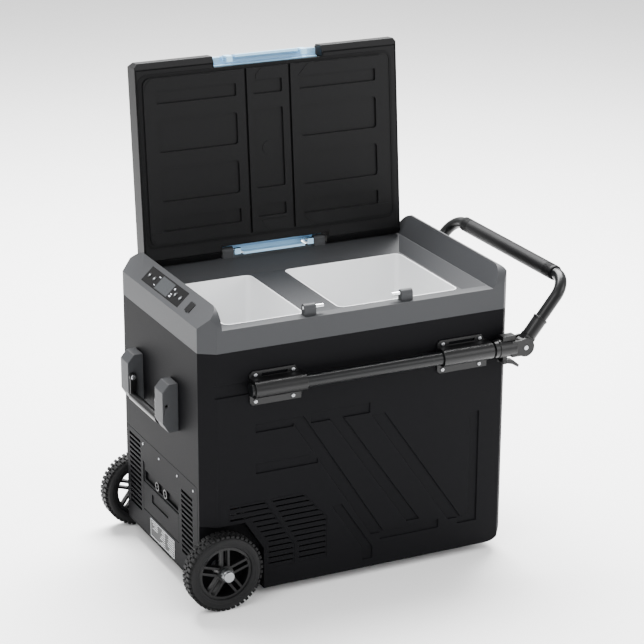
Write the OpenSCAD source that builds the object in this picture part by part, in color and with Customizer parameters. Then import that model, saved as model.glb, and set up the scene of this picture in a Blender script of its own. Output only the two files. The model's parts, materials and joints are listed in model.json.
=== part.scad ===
// Two-zone compressor cooler fridge on wheels: moulded shell, grey top frame, two cold bays,
// a lid on removable hinge pins and a pull handle that slides along both sides.
// Length runs along X from the left end, depth along Y from the front, height along Z from the floor.

/* [Body] */
// Length of the body from end to end
body_length = 680; // [670:1:690]
// Depth of the body from front face to rear face
body_depth = 434; // [430:2:440]
// Height of the shell's underside above the floor
ground_clearance = 18; // [14:1:20]
// Height of the seam between shell and top frame
seam_height = 535.5; // [530:0.5:540]
// Height of the rim that the lid rests over
rim_height = 582; // [581:0.5:583]
// Height of the two end shoulders
shoulder_height = 624; // [622:1:626]
// Wall of the outer shell
shell_wall = 5; // [4.5:0.5:6]
// Length of the slanted left corners along X
corner_length = 32; // [28:1:36]
// Depth of the slanted left corners along Y
corner_depth = 21; // [18:1:24]
// Depth of the moulded channels in the long faces
channel_depth = 3; // [1.5:0.5:3]

/* [Cold bays] */
// Height of the deck around the bays
deck_height = 561; // [559:1:563]
// Where the left bay starts
left_bay_x = 84; // [80:1:88]
// Length of the left bay
left_bay_length = 176; // [170:1:180]
// Height of the left bay's floor, over the compressor
left_bay_floor = 245; // [240:5:300]
// Where the right bay starts
right_bay_x = 335; // [330:1:340]
// Length of the right bay
right_bay_length = 275; // [270:1:277]
// Height of the right bay's floor
right_bay_floor = 70; // [60:5:120]
// Where both bays start behind the front face
bay_front = 82; // [80:1:85]
// Depth of both bays
bay_depth = 268; // [264:1:270]
// Radius of the bays' corners
bay_corner = 15; // [10:1:20]
// Wall of the bay liners
liner_wall = 3; // [2:0.5:4]

/* [Lid] */
// Thickness of the lid
lid_thickness = 41; // [39:1:41]
// Angle at which the lid stands open
lid_open_angle = 95; // [90:1:96]
// Height of the hinge pins
pin_height = 597; // [597:0.5:598]
// Distance of the hinge pins from the long faces
pin_inset = 16.5; // [16:0.5:17]
// Diameter of the hinge pins
pin_diameter = 8; // [7:0.5:8]
// Length of the two latch notches in the lid
notch_length = 246; // [244:1:250]
// Depth of the latch notches
notch_depth = 25; // [24:0.5:26]

/* [Pull handle] */
// Height of the two slide tubes
rail_height = 459; // [457:1:461]
// Distance of the slide tubes from the long faces
rail_offset = 20.4; // [20:0.2:22]
// Outside diameter of the slide tubes
rail_diameter = 27; // [25:1:28]
// Wall of the handle tubes
tube_wall = 2; // [1.5:0.5:3]
// Where the handle tilts, along the length
elbow_x = 703; // [701:1:710]
// Angle of the handle above level
arm_angle = 51; // [40:1:75]
// Length of the handle arms, from the tilt axis to the grip
arm_length = 163; // [155:1:180]
// Radius of the handle's two corners
arm_bend = 42; // [36:1:50]
// Diameter of the handle tube
arm_diameter = 25; // [22:1:26]
// Diameter of the grip sleeve
grip_diameter = 32; // [28:1:34]

/* [Wheels] */
// Diameter over the tread
wheel_diameter = 162; // [158:1:162]
// Width of a tyre
wheel_width = 38; // [34:1:40]
// How far the wheels stand out from the long faces
wheel_proud = 31; // [28:1:33]
// Where the axles are along the length
wheel_x = 35.5; // [34:0.5:38]
// Diameter of the axle stubs
axle_diameter = 12; // [10:1:14]
// Number of tread blocks around a tyre
tread_blocks = 24; // [20:2:28]

/* [Control panel] */
// Length of the display window across the slope
window_length = 191; // [185:1:195]
// Height of the display window along the slope
window_height = 37; // [34:1:38]
// Middle of the window behind the front face
window_middle = 231.5; // [225:0.5:235]
// Diameter of the four push buttons
button_diameter = 11; // [9:0.5:12]

/* [Hidden] */
$fn = 48;

// Small overlap that keeps a cut clear of the face it starts from
cut = 1;
// Gap between pieces that slide or turn past each other
play = 0.3;
// Gap around a turning shaft
fit = 0.06;

middle_y = body_depth / 2;
pin_y = body_depth - pin_inset;
grip_x = elbow_x + arm_length * cos(arm_angle);
elbow_height = rail_height - 1;
origin_x = (wheel_x - wheel_diameter / 2 + grip_x + grip_diameter / 2) / 2;

end_corner = 11;
foot_corner = 34;
shoulder_corner = 38;
shoulder_foot = 586;
ridge_x = 41.4;
lid_left = 46;
ridge_right = 665;
crease_right = 642;
deck_left = 44;
rim_width = 25;
deck_wall = 5;
lid_inset = 4;
lid_bottom = rim_height + play;
lid_top = lid_bottom + lid_thickness;
lug_width = 25;
lug_x = [224, 438];
slope_angle = atan2(shoulder_height - shoulder_foot, ridge_x);

arch_top = 170;
arch_outline = [[-cut, 0], [-cut, arch_top], [90, arch_top], [130, 107], [130, 0]];
arch_depth = 22;
arch_wall = 4;

// ---------- helpers ----------

// Puts a piece in the part's frame: origin under the middle, on the floor
module placed() {
    translate([-origin_x, -middle_y, 0]) children();
}

module rear_side() {
    translate([0, body_depth, 0]) mirror([0, 1, 0]) children();
}

module both_sides() {
    children();
    rear_side() children();
}

// Extrudes an outline of (Y, Z) points along X
module along_x(x, length) {
    translate([x, 0, 0]) rotate([90, 0, 90]) linear_extrude(length) children();
}

// Extrudes an outline of (X, Z) points along Y
module along_y(y, length) {
    translate([0, y + length, 0]) rotate([90, 0, 0]) linear_extrude(length) children();
}

module rounded_rect(size, r) {
    translate([r, 0]) square([size.x - 2 * r, size.y]);
    translate([0, r]) square([size.x, size.y - 2 * r]);
    for (x = [r, size.x - r], y = [r, size.y - r]) translate([x, y]) circle(r);
}

module rounded_box(size, r) {
    linear_extrude(size.z) rounded_rect([size.x, size.y], r);
}

module ring(outer, inner, height) {
    difference() {
        cylinder(r = outer, h = height);
        translate([0, 0, -cut]) cylinder(r = inner, h = height + 2 * cut);
    }
}

// Outline of the body seen from above, drawn in by a wall
module body_plan(wall = 0) {
    a = wall * 0.3;
    b = wall * 0.54;
    c = wall * 0.41;
    l = body_length;
    d = body_depth;
    polygon([
        [corner_length + a, wall], [l - end_corner - c, wall], [l - wall, end_corner + c],
        [l - wall, d - end_corner - c], [l - end_corner - c, d - wall],
        [corner_length + a, d - wall], [wall, d - corner_depth - b], [wall, corner_depth + b]
    ]);
}

// Puts a piece on the slanted control panel: x up the slope, z out of it
module on_slope() {
    translate([0, 0, shoulder_foot]) rotate([0, -slope_angle, 0]) children();
}

// Turns the lid and what is on it from shut to open
module lid_pose() {
    translate([0, pin_y, pin_height])
        rotate([-lid_open_angle, 0, 0])
            translate([0, -pin_y, -pin_height]) children();
}

// ---------- shell ----------

module shell_side() {
    r = foot_corner;
    l = body_length;
    bevel = 17;
    difference() {
        union() {
            translate([0, ground_clearance]) square([l - r, seam_height]);
            translate([0, ground_clearance + r]) square([l, seam_height]);
            translate([l - r, ground_clearance + r]) circle(r);
        }
        polygon([
            [-cut, ground_clearance + bevel + cut], [-cut, ground_clearance - cut],
            [bevel + cut, ground_clearance - cut]
        ]);
    }
}

// A slanted moulded channel from one point down to another
module slant_channel(top, bottom, width = 30) {
    polygon([top, [top.x + width, top.y], [bottom.x + width, bottom.y], bottom]);
}

module level_channel(x, z, length, height) {
    translate([x, z]) square([length, height]);
}

module channel_outlines() {
    level_channel(114, 359, 82, 18);
    slant_channel([188, 377], [371, 90]);
    level_channel(114, 271, 136, 21);
    level_channel(234, 359, 132, 22);
    slant_channel([268, 372], [453, 104]);
    slant_channel([370, 353], [551, 89]);
    level_channel(392, 75, 136, 18);
    level_channel(573, 75, 45, 15);
    level_channel(597, 75, 21, 246);
    slant_channel([282, 170], [353, 62], 22);
    level_channel(353, 36, 22, 27);
}

module rail_groove() {
    level_channel(-cut, 443, body_length + 2 * cut, 26);
}

// Outline of the right vent column on a long face
module vent_right() {
    polygon([[144, 212], [217, 212], [271, 150], [271, 61], [206, 61], [206, 99]]);
}

// Outline of the left vent column, which follows the wheel arch
module vent_left() {
    polygon([[55, 212], [133, 212], [198, 103], [198, 61], [139, 61], [139, 118], [97, 178], [55, 178]]);
}

module outer_shell() {
    cover_lip = 12;
    color([0.13, 0.13, 0.14]) difference() {
        intersection() {
            translate([0, 0, ground_clearance]) linear_extrude(seam_height - ground_clearance) body_plan();
            along_y(0, body_depth) shell_side();
        }
        difference() {
            intersection() {
                translate([0, 0, ground_clearance + shell_wall])
                    linear_extrude(seam_height) body_plan(shell_wall);
                translate([-shell_wall, 0, shell_wall]) along_y(0, body_depth) shell_side();
            }
            both_sides() along_y(0, arch_depth + arch_wall) offset_arch();
        }
        both_sides() along_y(-cut, arch_depth + cut) polygon(arch_outline);
        both_sides() along_y(-cut, channel_depth + cut) {
            channel_outlines();
            rail_groove();
        }
        both_sides() along_y(-cut, shell_wall + 2 * cut) {
            vent_right();
            vent_left();
        }
        translate([-cut, cover_y, cover_z]) cube([cover_wall + cut, cover_width, cover_height]);
        translate([-cut, cover_y + cover_lip, cover_z + cover_lip])
            cube([shell_wall + 2 * cut, cover_width - 2 * cover_lip, cover_height - 2 * cover_lip]);
        for (y = [axle_wall_y, body_depth - axle_wall_y]) translate([wheel_x, y, wheel_diameter / 2])
            rotate([90, 0, 0]) cylinder(d = axle_diameter + 2 * fit, h = 2 * arch_wall, center = true);
    }
}

axle_wall_y = arch_depth + arch_wall / 2;

module offset_arch() {
    polygon([
        [-cut, 0], [-cut, arch_top + arch_wall], [92, arch_top + arch_wall],
        [130 + arch_wall, 109], [130 + arch_wall, 0]
    ]);
}

module end_cap() {
    inset = 16;
    thick = 3;
    bottom = 66;
    color([0.3, 0.3, 0.31]) along_x(body_length, thick)
        translate([inset, bottom])
            rounded_rect([body_depth - 2 * inset, seam_height - bottom], 20);
}

// ---------- top frame ----------

module shoulders() {
    r = shoulder_corner;
    outer = 15;
    low = deck_height - 1;
    right = body_length - outer;
    intersection() {
        along_y(0, body_depth) {
            polygon([
                [0, low], [0, shoulder_foot], [ridge_x, shoulder_height],
                [deck_left, rim_height], [deck_left, low]
            ]);
            polygon([
                [crease_right - 1, low], [crease_right, rim_height - 2],
                [ridge_right, shoulder_height], [right, shoulder_height - outer],
                [body_length, shoulder_height - outer], [body_length, low]
            ]);
            translate([right, shoulder_height - outer]) intersection() {
                circle(outer);
                square(outer);
            }
        }
        along_x(-cut, body_length + 2 * cut)
            rounded_rect([body_depth, shoulder_height], r);
        linear_extrude(shoulder_height + cut) body_plan();
    }
}

// The funnel from the rim down to the deck, dropped by some depth and opened upward
module funnel(drop = 0, headroom = 0.1) {
    run = 36;
    side = 53;
    top = rim_height - drop;
    low = deck_height - drop;
    high = rim_height + headroom;
    intersection() {
        along_y(0, body_depth) polygon([
            [deck_left, high], [deck_left, top], [deck_left + run, low],
            [crease_right - 28, low], [crease_right, top], [crease_right, high]
        ]);
        along_x(0, body_length) polygon([
            [rim_width, high], [rim_width, top], [rim_width + side, low],
            [body_depth - rim_width - side, low], [body_depth - rim_width, top],
            [body_depth - rim_width, high]
        ]);
    }
}

module bay_hole(x, length, grow, z, height) {
    translate([x - grow, bay_front - grow, z])
        rounded_box([length + 2 * grow, bay_depth + 2 * grow, height], bay_corner + grow);
}

module both_bays(grow, z, height) {
    bay_hole(left_bay_x, left_bay_length, grow, z, height);
    bay_hole(right_bay_x, right_bay_length, grow, z, height);
}

// Half-round lugs on the rim, two to a side, that carry the hinge pins
module lugs() {
    lug_r = 8;
    for (x = lug_x) along_x(x, lug_width) {
        translate([pin_inset, pin_height]) circle(lug_r);
        translate([pin_inset - lug_r, rim_height - 2]) square([2 * lug_r, pin_height - rim_height + 2]);
    }
}

window_x = 9.5;
usb_size = [22, 23];
usb_x = 15;
usb_y = 86;

module top_frame() {
    pocket_wall = 8;
    pocket_low = seam_height - cut;
    color([0.42, 0.42, 0.43]) difference() {
        union() {
            translate([0, 0, seam_height]) linear_extrude(rim_height - seam_height) body_plan();
            shoulders();
            both_sides() lugs();
        }
        funnel();
        both_bays(0, pocket_low, shoulder_height);
        difference() {
            translate([0, 0, pocket_low])
                linear_extrude(rim_height - deck_wall - pocket_low) body_plan(pocket_wall);
            funnel(deck_wall, 20);
            both_bays(4, pocket_low - cut, 100);
        }
        on_slope() translate([window_x, window_middle - window_length / 2, -2.5])
            cube([window_height, window_length, 10]);
        on_slope() translate([window_x + 3, window_middle - window_length / 2 + 5, -12])
            cube([window_height - 6, window_length - 10, 12]);
        on_slope() translate([usb_x, usb_y, -11]) cube([usb_size.x, usb_size.y, 20]);
        both_sides() for (x = lug_x) along_x(x - cut, lug_width + 2 * cut)
            translate([pin_inset, pin_height]) circle(d = pin_diameter);
    }
}

module latch_pins() {
    reach = 19;
    color([0.85, 0.85, 0.86]) both_sides() {
        along_x(lug_x[0], lug_width + reach) translate([pin_inset, pin_height]) circle(d = pin_diameter);
        along_x(lug_x[1] - reach, lug_width + reach)
            translate([pin_inset, pin_height]) circle(d = pin_diameter);
    }
}

// ---------- cold bays and what cools them ----------

module liner(x, length, floor_z) {
    height = deck_height - floor_z;
    difference() {
        bay_hole(x, length, 0, floor_z, height);
        bay_hole(x, length, -liner_wall, floor_z + liner_wall, height);
    }
}

module left_liner() {
    color([0.9, 0.9, 0.9]) liner(left_bay_x, left_bay_length, left_bay_floor);
}

module right_liner() {
    color([0.9, 0.9, 0.9]) liner(right_bay_x, right_bay_length, right_bay_floor);
}

bay_lid_z = 228;
bay_end_x = 290;

module insulation() {
    top = deck_height - deck_wall - 2;
    gap = 12;
    skin = shell_wall + 3;
    color([0.86, 0.82, 0.6]) difference() {
        intersection() {
            linear_extrude(top) body_plan(skin);
            union() {
                translate([0, 0, bay_lid_z]) cube([body_length, body_depth, top]);
                translate([bay_end_x, 0, ground_clearance + shell_wall + 2])
                    cube([body_length, body_depth, top]);
            }
            translate([-skin, 0, skin]) along_y(0, body_depth) shell_side();
        }
        bay_hole(left_bay_x, left_bay_length, gap, left_bay_floor - 2, top);
        bay_hole(right_bay_x, right_bay_length, gap, right_bay_floor - 2, top);
    }
}

// One turn of cooling tube around a bay
module coil_turn(x, length, z) {
    tube = 6;
    difference() {
        bay_hole(x, length, 2 + tube, z, tube);
        bay_hole(x, length, 2, z - cut, tube + 2 * cut);
    }
}

module evaporator() {
    turns = 6;
    tube = 6;
    left_pitch = (seam_height - left_bay_floor - 30) / (turns - 1);
    right_pitch = (seam_height - right_bay_floor - 40) / (turns - 1);
    color([0.75, 0.5, 0.35]) {
        for (i = [0 : turns - 1]) {
            coil_turn(left_bay_x, left_bay_length, left_bay_floor + 15 + i * left_pitch);
            coil_turn(right_bay_x, right_bay_length, right_bay_floor + 20 + i * right_pitch);
        }
        translate([left_bay_x + left_bay_length + 2, middle_y, left_bay_floor + 15])
            cube([tube, tube, (turns - 1) * left_pitch + tube]);
        translate([right_bay_x - 2 - tube, middle_y, right_bay_floor + 20])
            cube([tube, tube, (turns - 1) * right_pitch + tube]);
    }
}

tray_z = ground_clearance + shell_wall;
tray_wall = 2;
compressor_x = 212;
compressor_y = 190;
compressor_r = 52;
compressor_z = tray_z + tray_wall + 8;

module compressor_tray() {
    bore = 4;
    mount_r = 7;
    color([0.6, 0.6, 0.62]) {
        translate([142, 70, tray_z]) cube([138, 300, tray_wall]);
        for (x = [-44, 44], y = [-44, 44])
            translate([compressor_x + x, compressor_y + y, tray_z + tray_wall])
                ring(mount_r, bore, compressor_z - tray_z - tray_wall);
    }
}

module compressor() {
    can = 80;
    dome = 75;
    color([0.09, 0.09, 0.1]) translate([compressor_x, compressor_y, compressor_z]) {
        difference() {
            translate([-52, -52, 0]) rounded_box([104, 104, 3], 10);
            for (x = [-44, 44], y = [-44, 44]) translate([x, y, -cut]) cylinder(r = 4, h = 6);
        }
        translate([0, 0, 3]) cylinder(r = compressor_r, h = can);
        intersection() {
            translate([0, 0, 3 + can - 54]) sphere(r = dome, $fn = 64);
            cylinder(r = compressor_r, h = 3 + can + dome);
        }
        translate([-20, compressor_r - 6, 25]) cube([40, 20, 45]);
    }
}

cooler_x = 147;
cooler_width = 126;
cooler_z = 40;

module condenser() {
    fins = 17;
    pitch = (cooler_width - 2) / (fins - 1);
    color([0.72, 0.6, 0.5]) translate([cooler_x, 330, cooler_z]) {
        for (i = [0 : fins - 1]) translate([i * pitch, 0, 0]) cube([1.2, 24, 140]);
        for (z = [12 : 29 : 128]) translate([-3, 12, z]) rotate([0, 90, 0])
            cylinder(d = 7, h = cooler_width + 6);
    }
}

fan_x = cooler_x + cooler_width / 2;
fan_z = cooler_z + 70;
fan_y = 300;
fan_depth = 25;

module fan_shroud() {
    hole = 57;
    arm = 4;
    back = fan_y + fan_depth - arm - 2;
    color([0.15, 0.15, 0.16]) {
        difference() {
            translate([cooler_x, fan_y, cooler_z + 7]) cube([cooler_width, fan_depth, cooler_width]);
            translate([fan_x, fan_y - cut, fan_z]) rotate([-90, 0, 0])
                cylinder(r = hole, h = fan_depth + 2 * cut);
        }
        difference() {
            union() {
                for (a = [45 : 90 : 315]) translate([fan_x, back, fan_z]) rotate([0, a, 0])
                    translate([0, 0.5, -3]) cube([hole + 4, arm - 1, 6]);
                translate([fan_x, back, fan_z]) rotate([-90, 0, 0]) cylinder(r = 18, h = arm);
            }
            translate([fan_x, back - cut, fan_z]) rotate([-90, 0, 0])
                cylinder(d = 5 + 2 * fit, h = arm + 2 * cut);
        }
    }
}

module fan_rotor() {
    blades = 7;
    color([0.2, 0.2, 0.21]) translate([fan_x, fan_y + 2, fan_z]) {
        rotate([-90, 0, 0]) cylinder(r = 19, h = 16);
        rotate([-90, 0, 0]) cylinder(d = 5, h = 22.5);
        for (i = [0 : blades - 1]) rotate([0, i * 360 / blades, 0])
            translate([34, 8, 0]) rotate([28, 0, 0]) cube([38, 2, 24], center = true);
    }
}

module control_board() {
    color([0.1, 0.35, 0.2]) translate([20, 180, 195]) {
        cube([100, 120, 2]);
        translate([10, 10, 2]) cube([30, 60, 14]);
        translate([55, 20, 2]) cylinder(d = 16, h = 20);
        translate([55, 45, 2]) cylinder(d = 16, h = 20);
        translate([50, 70, 2]) cube([40, 40, 6]);
    }
}

door_y = 129;
door_width = 191;
door_z = 89;
door_height = 62;
door_wall = 3.5;

module battery_tray() {
    wall = 2;
    length = 88;
    color([0.2, 0.2, 0.21]) difference() {
        translate([7, door_y + 10, door_z + 2]) cube([length, door_width - 20, door_height - 4]);
        translate([7 - cut, door_y + 10 + wall, door_z + 2 + wall])
            cube([length - wall + cut, door_width - 20 - 2 * wall, door_height - 4 - 2 * wall]);
    }
}

module battery_pack() {
    color([0.16, 0.16, 0.18]) translate([9, door_y + 13, door_z + 4.5])
        cube([82, door_width - 26, door_height - 9.5]);
}

// ---------- left end ----------

cover_y = 30;
cover_z = 38;
cover_width = 374;
cover_height = 212;
cover_wall = 4;
screw_row = 236;
screw_head = 4;

// A stack of level slots cut through the cover
module cover_slots(y, width, z, count) {
    pitch = 11;
    for (i = [0 : count - 1]) translate([-cut, y, z + i * pitch]) cube([cover_wall + 2 * cut, width, 6]);
}

socket_outline = [[129, 198], [189, 183], [292, 183], [320, 199], [320, 153], [129, 153]];

module left_cover() {
    color([0.17, 0.17, 0.18]) difference() {
        translate([0, cover_y + play, cover_z + play])
            cube([cover_wall, cover_width - 2 * play, cover_height - 2 * play]);
        cover_slots(56, 57, 78, 13);
        cover_slots(334, 61, 78, 15);
        along_x(-cut, cover_wall + 2 * cut) polygon(socket_outline);
        translate([-cut, door_y, door_z]) cube([cover_wall + 2 * cut, door_width, door_height]);
    }
}

module socket_panel() {
    color([0.12, 0.12, 0.13]) difference() {
        along_x(2, 8) polygon(socket_outline);
        along_x(cut, 6) translate([136, 158]) square([178, 20]);
        for (y = [206, 249]) translate([0, y, 166]) rotate([0, 90, 0]) cylinder(d = 20, h = 20);
    }
}

module power_sockets() {
    color([0.25, 0.25, 0.26]) for (y = [206, 249]) translate([2, y, 166]) rotate([0, 90, 0]) {
        difference() {
            cylinder(d = 20, h = 24);
            translate([0, 0, -cut]) cylinder(d = 14, h = 20);
        }
        cylinder(d = 4, h = 22);
    }
}

hinge_r = door_wall / 2;
door_axis_z = door_z + play + hinge_r;

module battery_door() {
    color([0.15, 0.15, 0.16]) difference() {
        union() {
            translate([0, door_y + play, door_axis_z])
                cube([door_wall, door_width - 2 * play, door_height - 2 * play - hinge_r]);
            translate([hinge_r, door_y + play, door_axis_z]) rotate([-90, 0, 0])
                cylinder(r = hinge_r, h = door_width - 2 * play);
        }
        translate([-cut, 186, 120]) cube([door_wall, 88, 19]);
    }
}

module rating_plate() {
    color([0.85, 0.85, 0.85]) translate([-0.6, 152, 42]) cube([0.6, 132, 42]);
}

// ---------- vents ----------

module slats(bottom) {
    pitch = 12.2;
    height = 8.8;
    for (i = [0 : 12]) translate([40, 1.6, bottom + i * pitch]) rotate([-14, 0, 0])
        translate([0, -0.5, -height / 2]) cube([240, 3.5, height]);
}

module side_grille() {
    frame = 3;
    intersection() {
        along_y(0.5, 9) {
            vent_left();
            vent_right();
        }
        union() {
            slats(64);
            difference() {
                along_y(1, 4) {
                    vent_left();
                    vent_right();
                }
                translate([frame, 0, 0]) along_y(0, 8) intersection() {
                    vent_left();
                    translate([-2 * frame, 0]) vent_left();
                }
                translate([frame, 0, 0]) along_y(0, 8) intersection() {
                    vent_right();
                    translate([-2 * frame, 0]) vent_right();
                }
            }
        }
    }
}

module side_grilles() {
    color([0.11, 0.11, 0.12]) both_sides() side_grille();
}

// ---------- control panel ----------

button_places = [window_middle - 80, window_middle - 55, window_middle + 55, window_middle + 80];
button_x = window_x + window_height / 2;

module display_window() {
    color([0.04, 0.04, 0.05]) on_slope() difference() {
        translate([window_x + play, window_middle - window_length / 2 + play, -2.4])
            cube([window_height - 2 * play, window_length - 2 * play, 2.2]);
        for (y = button_places) translate([button_x, y, -5]) cylinder(d = button_diameter + 0.8, h = 10);
    }
}

module display_board() {
    color([0.1, 0.35, 0.2]) on_slope() {
        translate([window_x + 4, window_middle - window_length / 2 + 6, -11])
            cube([window_height - 8, window_length - 12, 1.6]);
        translate([window_x + 6, window_middle - 34, -9.4]) cube([window_height - 12, 68, 6.8]);
        for (y = button_places) translate([button_x - 3, y - 3, -9.4]) cube([6, 6, 1.4]);
    }
}

module push_button(y) {
    color([0.3, 0.3, 0.31]) on_slope() translate([button_x, y, 0]) {
        translate([0, 0, -2.2]) cylinder(d = button_diameter, h = 3);
        translate([0, 0, -6]) cylinder(d = 5, h = 4);
    }
}

module power_button() {
    push_button(button_places[0]);
}

module mode_button() {
    push_button(button_places[1]);
}

module up_button() {
    push_button(button_places[2]);
}

module down_button() {
    push_button(button_places[3]);
}

module usb_socket() {
    color([0.08, 0.08, 0.09]) on_slope() difference() {
        translate([usb_x + play, usb_y + play, -10.5])
            cube([usb_size.x - 2 * play, usb_size.y - 2 * play, 9]);
        translate([usb_x + 5, usb_y + 4, -9]) cube([5, 15, 9]);
        translate([usb_x + 13, usb_y + 4, -9]) cube([5, 15, 9]);
    }
}

flap_axis_x = usb_x + usb_size.x - 2;

module usb_flap() {
    color([0.1, 0.1, 0.11]) on_slope() {
        translate([usb_x + play, usb_y + play, -0.8])
            cube([usb_size.x - 2 - play, usb_size.y - 2 * play, 1.8]);
        translate([flap_axis_x, usb_y + play, 0.1]) rotate([-90, 0, 0])
            cylinder(d = 1.8, h = usb_size.y - 2 * play);
        translate([usb_x - 2, usb_y + 8, 0.2]) cube([3, 7, 0.8]);
    }
}

// ---------- pull handle ----------

rail_r = rail_diameter / 2;
housing_r = 18;
flange = 4;
bracket_x = [100, 515];
bracket_length = [111, 115];
flange_low = 419;
flange_height = 71;
bracket_screw_z = [427, 482];

module rail_bracket(x, length) {
    window_low = housing_r + rail_height + 1;
    difference() {
        union() {
            along_y(-flange, flange) polygon([
                [x, flange_low + 6], [x + 6, flange_low], [x + length, flange_low],
                [x + length, rail_height + 8], [x + length - 14, flange_low + flange_height],
                [x + 6, flange_low + flange_height], [x, flange_low + flange_height - 6]
            ]);
            along_x(x, length) {
                translate([-rail_offset, rail_height]) circle(housing_r);
                translate([-rail_offset, rail_height - housing_r]) square([rail_offset, 2 * housing_r]);
            }
        }
        along_x(x - cut, length + 2 * cut) translate([-rail_offset, rail_height]) circle(rail_r + play);
        along_y(-flange - cut, flange + 2 * cut) level_channel(x + 26, window_low, length - 56, 6);
        for (sx = bracket_screws(x, length), z = bracket_screw_z) translate([sx, cut, z])
            rotate([90, 0, 0]) cylinder(d = 5.4, h = flange + 2 * cut);
    }
}

function bracket_screws(x, length) = [x + 12, x + length - 18];

module front_rail_brackets() {
    color([0.12, 0.12, 0.13]) for (i = [0, 1]) rail_bracket(bracket_x[i], bracket_length[i]);
}

module rear_rail_brackets() {
    rear_side() front_rail_brackets();
}

tube_left = 94;
tube_right = 662;

module front_slide_tube() {
    color([0.14, 0.14, 0.15]) difference() {
        along_x(tube_left, tube_right - tube_left) translate([-rail_offset, rail_height]) circle(rail_r);
        along_x(tube_left + 4, tube_right) translate([-rail_offset, rail_height])
            circle(rail_r - tube_wall);
    }
}

module rear_slide_tube() {
    rear_side() front_slide_tube();
}

elbow_r = 20;
cheek_gap = 11;
cheek_wall = 6;
elbow_pin = 10;
lever_x = 657;
lever_z = 432;
lever_pin = 3.5;

module front_elbow() {
    y = -rail_offset;
    bottom = rail_height - elbow_r;
    color([0.1, 0.1, 0.11]) difference() {
        union() {
            along_x(644, 38) translate([y, rail_height]) circle(elbow_r);
            along_x(634, 12) translate([y, rail_height]) circle(housing_r);
            for (side = [-cheek_gap - cheek_wall, cheek_gap]) {
                along_y(y + side, cheek_wall) {
                    translate([elbow_x, elbow_height]) circle(elbow_r);
                    translate([670, elbow_height - 17]) square([elbow_x - 670, 34]);
                }
            }
            translate([652, y - 10, rail_height + 15]) cube([30, 20, 12]);
            for (side = [-12.5, 9.5]) translate([lever_x - 5, y + side, lever_z - 5])
                cube([10, 3, bottom - lever_z + 12]);
        }
        along_x(630, tube_right - 630) translate([y, rail_height]) circle(rail_r);
        along_y(y - 30, 60) translate([elbow_x, elbow_height]) circle(d = elbow_pin);
        along_y(y - 15, 30) translate([lever_x, lever_z]) circle(lever_pin + fit);
    }
}

module rear_elbow() {
    rear_side() front_elbow();
}

module elbow_pins() {
    half = cheek_gap + cheek_wall + 1.5;
    color([0.5, 0.5, 0.52]) both_sides() along_y(-rail_offset - half, 2 * half)
        translate([elbow_x, elbow_height]) circle(d = elbow_pin);
}

module front_release_lever() {
    half = 8;
    color([0.2, 0.2, 0.21]) {
        along_y(-rail_offset - half, 2 * half) {
            translate([lever_x, lever_z]) circle(5);
            polygon([
                [lever_x, lever_z + 4.5], [680, lever_z - 1], [694, 419], [691, 414],
                [676, lever_z - 9], [lever_x, lever_z - 4.5]
            ]);
        }
        along_y(-rail_offset - 12.5, 25) translate([lever_x, lever_z]) circle(lever_pin);
    }
}

module rear_release_lever() {
    rear_side() front_release_lever();
}

// Puts a piece in the handle's own plane: x out from the tilt axis, y across
module handle_pose() {
    translate([elbow_x, 0, elbow_height]) rotate([0, -arm_angle, 0]) children();
}

knuckle_r = 17;
sleeve_start = 24;
sleeve_end = 63;

module arm_joints() {
    sleeve_r = 15;
    collar = 5;
    half = cheek_gap - 2 * play;
    color([0.1, 0.1, 0.11]) handle_pose() both_sides() translate([0, -rail_offset, 0]) {
        difference() {
            union() {
                rotate([90, 0, 0]) cylinder(r = knuckle_r, h = 2 * half, center = true);
                translate([0, -half, -13]) cube([sleeve_start + 1, 2 * half, 26]);
                translate([sleeve_start, 0, 0]) rotate([0, 90, 0])
                    cylinder(r = sleeve_r, h = sleeve_end - sleeve_start);
                translate([sleeve_end, 0, 0]) rotate([0, 90, 0]) cylinder(r = sleeve_r + 1, h = collar);
            }
            rotate([90, 0, 0]) cylinder(d = elbow_pin + 2 * fit, h = 60, center = true);
            translate([40, 0, 0]) rotate([0, 90, 0]) cylinder(d = arm_diameter, h = 60);
        }
    }
}

module tube_bend(r) {
    rotate_extrude(angle = 90) translate([arm_bend, 0]) circle(r);
}

module handle_tube() {
    r = arm_diameter / 2;
    span = body_depth + 2 * rail_offset;
    straight = arm_length - arm_bend - 40;
    color([0.1, 0.1, 0.11]) handle_pose() {
        for (y = [-rail_offset, body_depth + rail_offset]) translate([40, y, 0]) rotate([0, 90, 0])
            cylinder(r = r, h = straight);
        translate([arm_length - arm_bend, arm_bend - rail_offset, 0]) rotate([0, 0, -90]) tube_bend(r);
        translate([arm_length - arm_bend, body_depth + rail_offset - arm_bend, 0]) tube_bend(r);
        translate([arm_length, arm_bend - rail_offset, 0]) rotate([-90, 0, 0])
            cylinder(r = r, h = span - 2 * arm_bend);
    }
}

module grip_sleeve() {
    y = arm_bend - rail_offset + 4;
    color([0.07, 0.07, 0.08]) handle_pose() translate([arm_length, y, 0]) rotate([-90, 0, 0])
        ring(grip_diameter / 2, arm_diameter / 2, body_depth - 2 * y);
}

// ---------- carry handle ----------

carry_y = [119, 306];
carry_width = 42;
carry_reach = 34;
carry_pivot = [-25, 395];
carry_drop = 42;

module carry_brackets() {
    low = 338;
    high = 440;
    color([0.33, 0.33, 0.34]) for (y = carry_y) difference() {
        along_y(y, carry_width) polygon([
            [0, low], [-carry_reach + 12, low], [-carry_reach, low + 20], [-carry_reach, high - 16],
            [-carry_reach + 14, high], [0, high]
        ]);
        along_y(y - cut, carry_width + 2 * cut) translate(carry_pivot) circle(d = 6);
    }
}

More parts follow.
